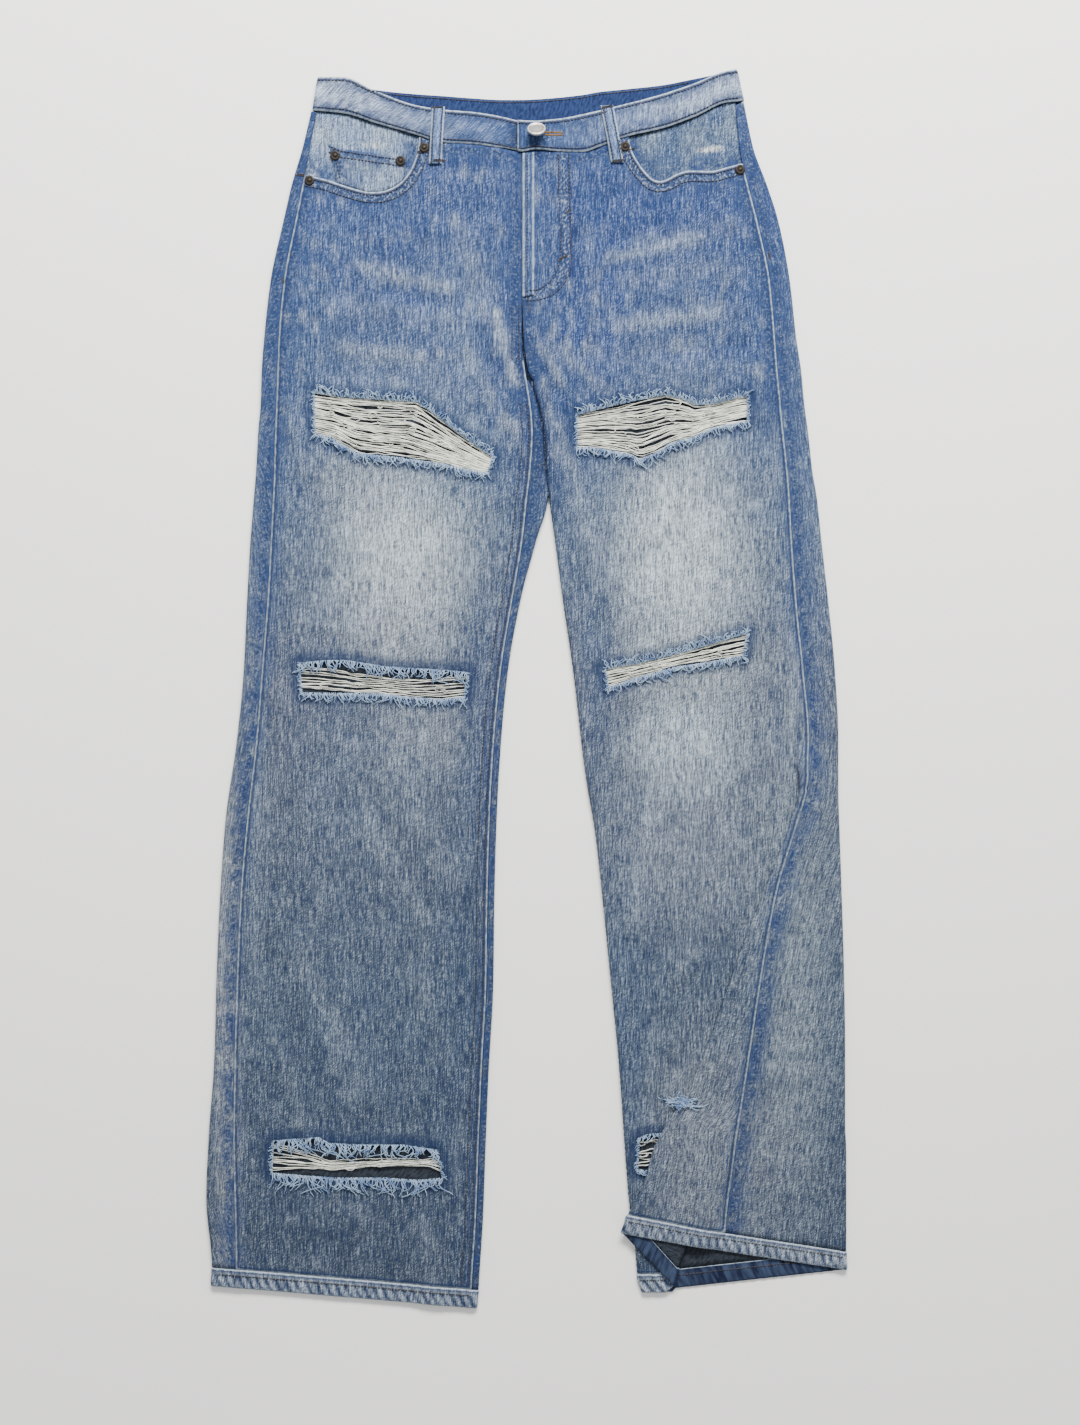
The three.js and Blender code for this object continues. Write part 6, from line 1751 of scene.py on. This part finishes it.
# Buttonhole
# A keyhole in the band's end, sewn round with thick golden brown thread that shows beside the button.
HOLE_FROM, HOLE_TO, HOLE_Y = 14.5, 29.5, 487.2
gold_thread = cotton_thread("thread_golden_brown_cotton", "#7a581a", "#46300c")
hole = np.linspace(HOLE_FROM, HOLE_TO, 40)
hole_rows = [np.stack([hole, HOLE_Y + offset + 0 * hole], -1) for offset in (-1.5, -0.9, 0.9, 1.5)]
hole_rows.append(np.stack([HOLE_TO + 1.3 * np.cos(np.linspace(-1.6, 1.6, 12)),
                           HOLE_Y + 1.3 * np.sin(np.linspace(-1.6, 1.6, 12))], -1))
buttonhole = grown("buttonhole_stitches", path_mesh("hole", [
    run for row_line in hole_rows for run in sewn_lines(row_line, 0.2, step=0.6)], {}), stitch_maker,
    Pitch=BAR["pitch"], Length=0.0013, Thickness=0.0007, Thread=gold_thread)
dress(buttonhole, "denim")

# Rivets
# Copper rivets hold the pocket corners. Each is a cap with a raised rim and a nipple in the middle, gone
# dark brown, with the copper showing where the rim is rubbed.
RIVET_PROFILE = [
    (0, 1.75), (0.8, 1.7), (1.35, 1.45), (1.6, 1.1), (1.9, 0.95), (2.7, 1.15), (3.4, 1.2), (3.9, 1.0),
    (4.25, 0.6), (4.3, 0.2), (4.1, 0.0),
]
RIVET_NODES = ["right_outer", "right_inner", "left_inner", "left_outer", "coin_outer", "coin_inner"]
TURN_STEPS = 28


def turned(profile, steps=TURN_STEPS):
    """A closed round shape, from its top in the middle to its foot, in millimetres about its own axis."""
    made = bmesh.new()
    top = made.verts.new((0, 0, profile[0][1]))
    rings = [[made.verts.new((radius * math.cos(angle), radius * math.sin(angle), height))
              for angle in np.arange(steps) * 2 * math.pi / steps] for radius, height in profile[1:]]
    for k in range(steps):
        made.faces.new((top, rings[0][k], rings[0][(k + 1) % steps]))
        for upper, lower in zip(rings, rings[1:]):
            made.faces.new((upper[k], lower[k], lower[(k + 1) % steps], upper[(k + 1) % steps]))
    made.faces.new(rings[-1][::-1])
    for face in made.faces:
        face.smooth = True
    return made


def worn_metal(name, base, rubbed, dirt, metallic, roughness):
    # Plated metal with a skin of tarnish, rubbed bright on what stands up, with grime in the hollows.
    material, tree = blank_material(name)
    spot = add(tree, "ShaderNodeTexCoord").outputs["Object"]
    blotch = add(tree, "ShaderNodeTexNoise", {"Vector": spot, "Scale": 420.0, "Detail": 4.0}).outputs["Fac"]
    grain = add(tree, "ShaderNodeTexNoise", {"Vector": spot, "Scale": 2600.0, "Detail": 2.0}).outputs["Fac"]
    hollow = add(tree, "ShaderNodeNewGeometry").outputs["Pointiness"]
    tone = toward(tree, linear(base), band(tree, hollow, 0.50, 0.56), linear(rubbed))
    tone = toward(tree, tone, band(tree, hollow, 0.49, 0.42), linear(dirt))
    tone = toward(tree, tone, band(tree, blotch, 0.5, 0.7, 0.0, 0.55), linear(dirt))
    rough = band(tree, blotch, 0.3, 0.7, roughness, roughness + 0.22)
    finished(tree, tone, grain, 0.25, 0.0001, Roughness=rough, Metallic=metallic)
    return material


old_copper = worn_metal("copper_tarnished_pressed", "#17130f", "#3a322b", "#0a0908", 0.7, 0.5)
rivet_mesh = bpy.data.meshes.new("rivets")
rivet_shapes = bmesh.new()
for name in RIVET_NODES:
    low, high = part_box(f"rivet_{name}")
    shape = turned(RIVET_PROFILE)
    for vertex in shape.verts:
        foot = Vector((low[0] + high[0], low[1] + high[1], 0)) / 2 + Vector((0, 0, low[2]))
        vertex.co = foot + vertex.co / 1000
    part = bpy.data.meshes.new("rivet")
    shape.to_mesh(part)
    rivet_shapes.from_mesh(part)
rivet_shapes.to_mesh(rivet_mesh)
rivet_mesh.materials.append(old_copper)
dress(placed("rivets", rivet_mesh), "rivet_metal", *[f"rivet_{name}" for name in RIVET_NODES])

# Button
# A shank button of pressed brass with a silvery finish: a plain domed face with a rolled rim, on a stem
# through the buttonhole, tipped back towards the waist as it stands.
BUTTON_AT = (7, 488, 14.47)
BUTTON_TIP = 0.62
BUTTON_PROFILE = [
    (0, 2.7), (2.4, 2.66), (4.4, 2.5), (5.4, 2.42), (5.9, 2.6), (6.6, 3.1), (7.3, 3.2), (8.0, 2.8),
    (8.3, 2.0), (8.25, 1.0), (7.6, 0.3), (5.0, -0.1), (2.9, -0.4), (2.7, -1.6), (2.8, -3.9),
]
silver_plate = worn_metal("brass_plated_pressed", "#8f8d8a", "#c9c7c4", "#4b4845", 1.0, 0.34)
shape = turned(BUTTON_PROFILE, 40)
turn = Matrix.Rotation(-BUTTON_TIP, 3, "X")
for vertex in shape.verts:
    vertex.co = turn @ (vertex.co / 1000) + Vector(world(BUTTON_AT)[0])
button_mesh = bpy.data.meshes.new("shank_button")
shape.to_mesh(button_mesh)
button_mesh.materials.append(silver_plate)
dress(placed("shank_button", button_mesh), "button_metal", "button")
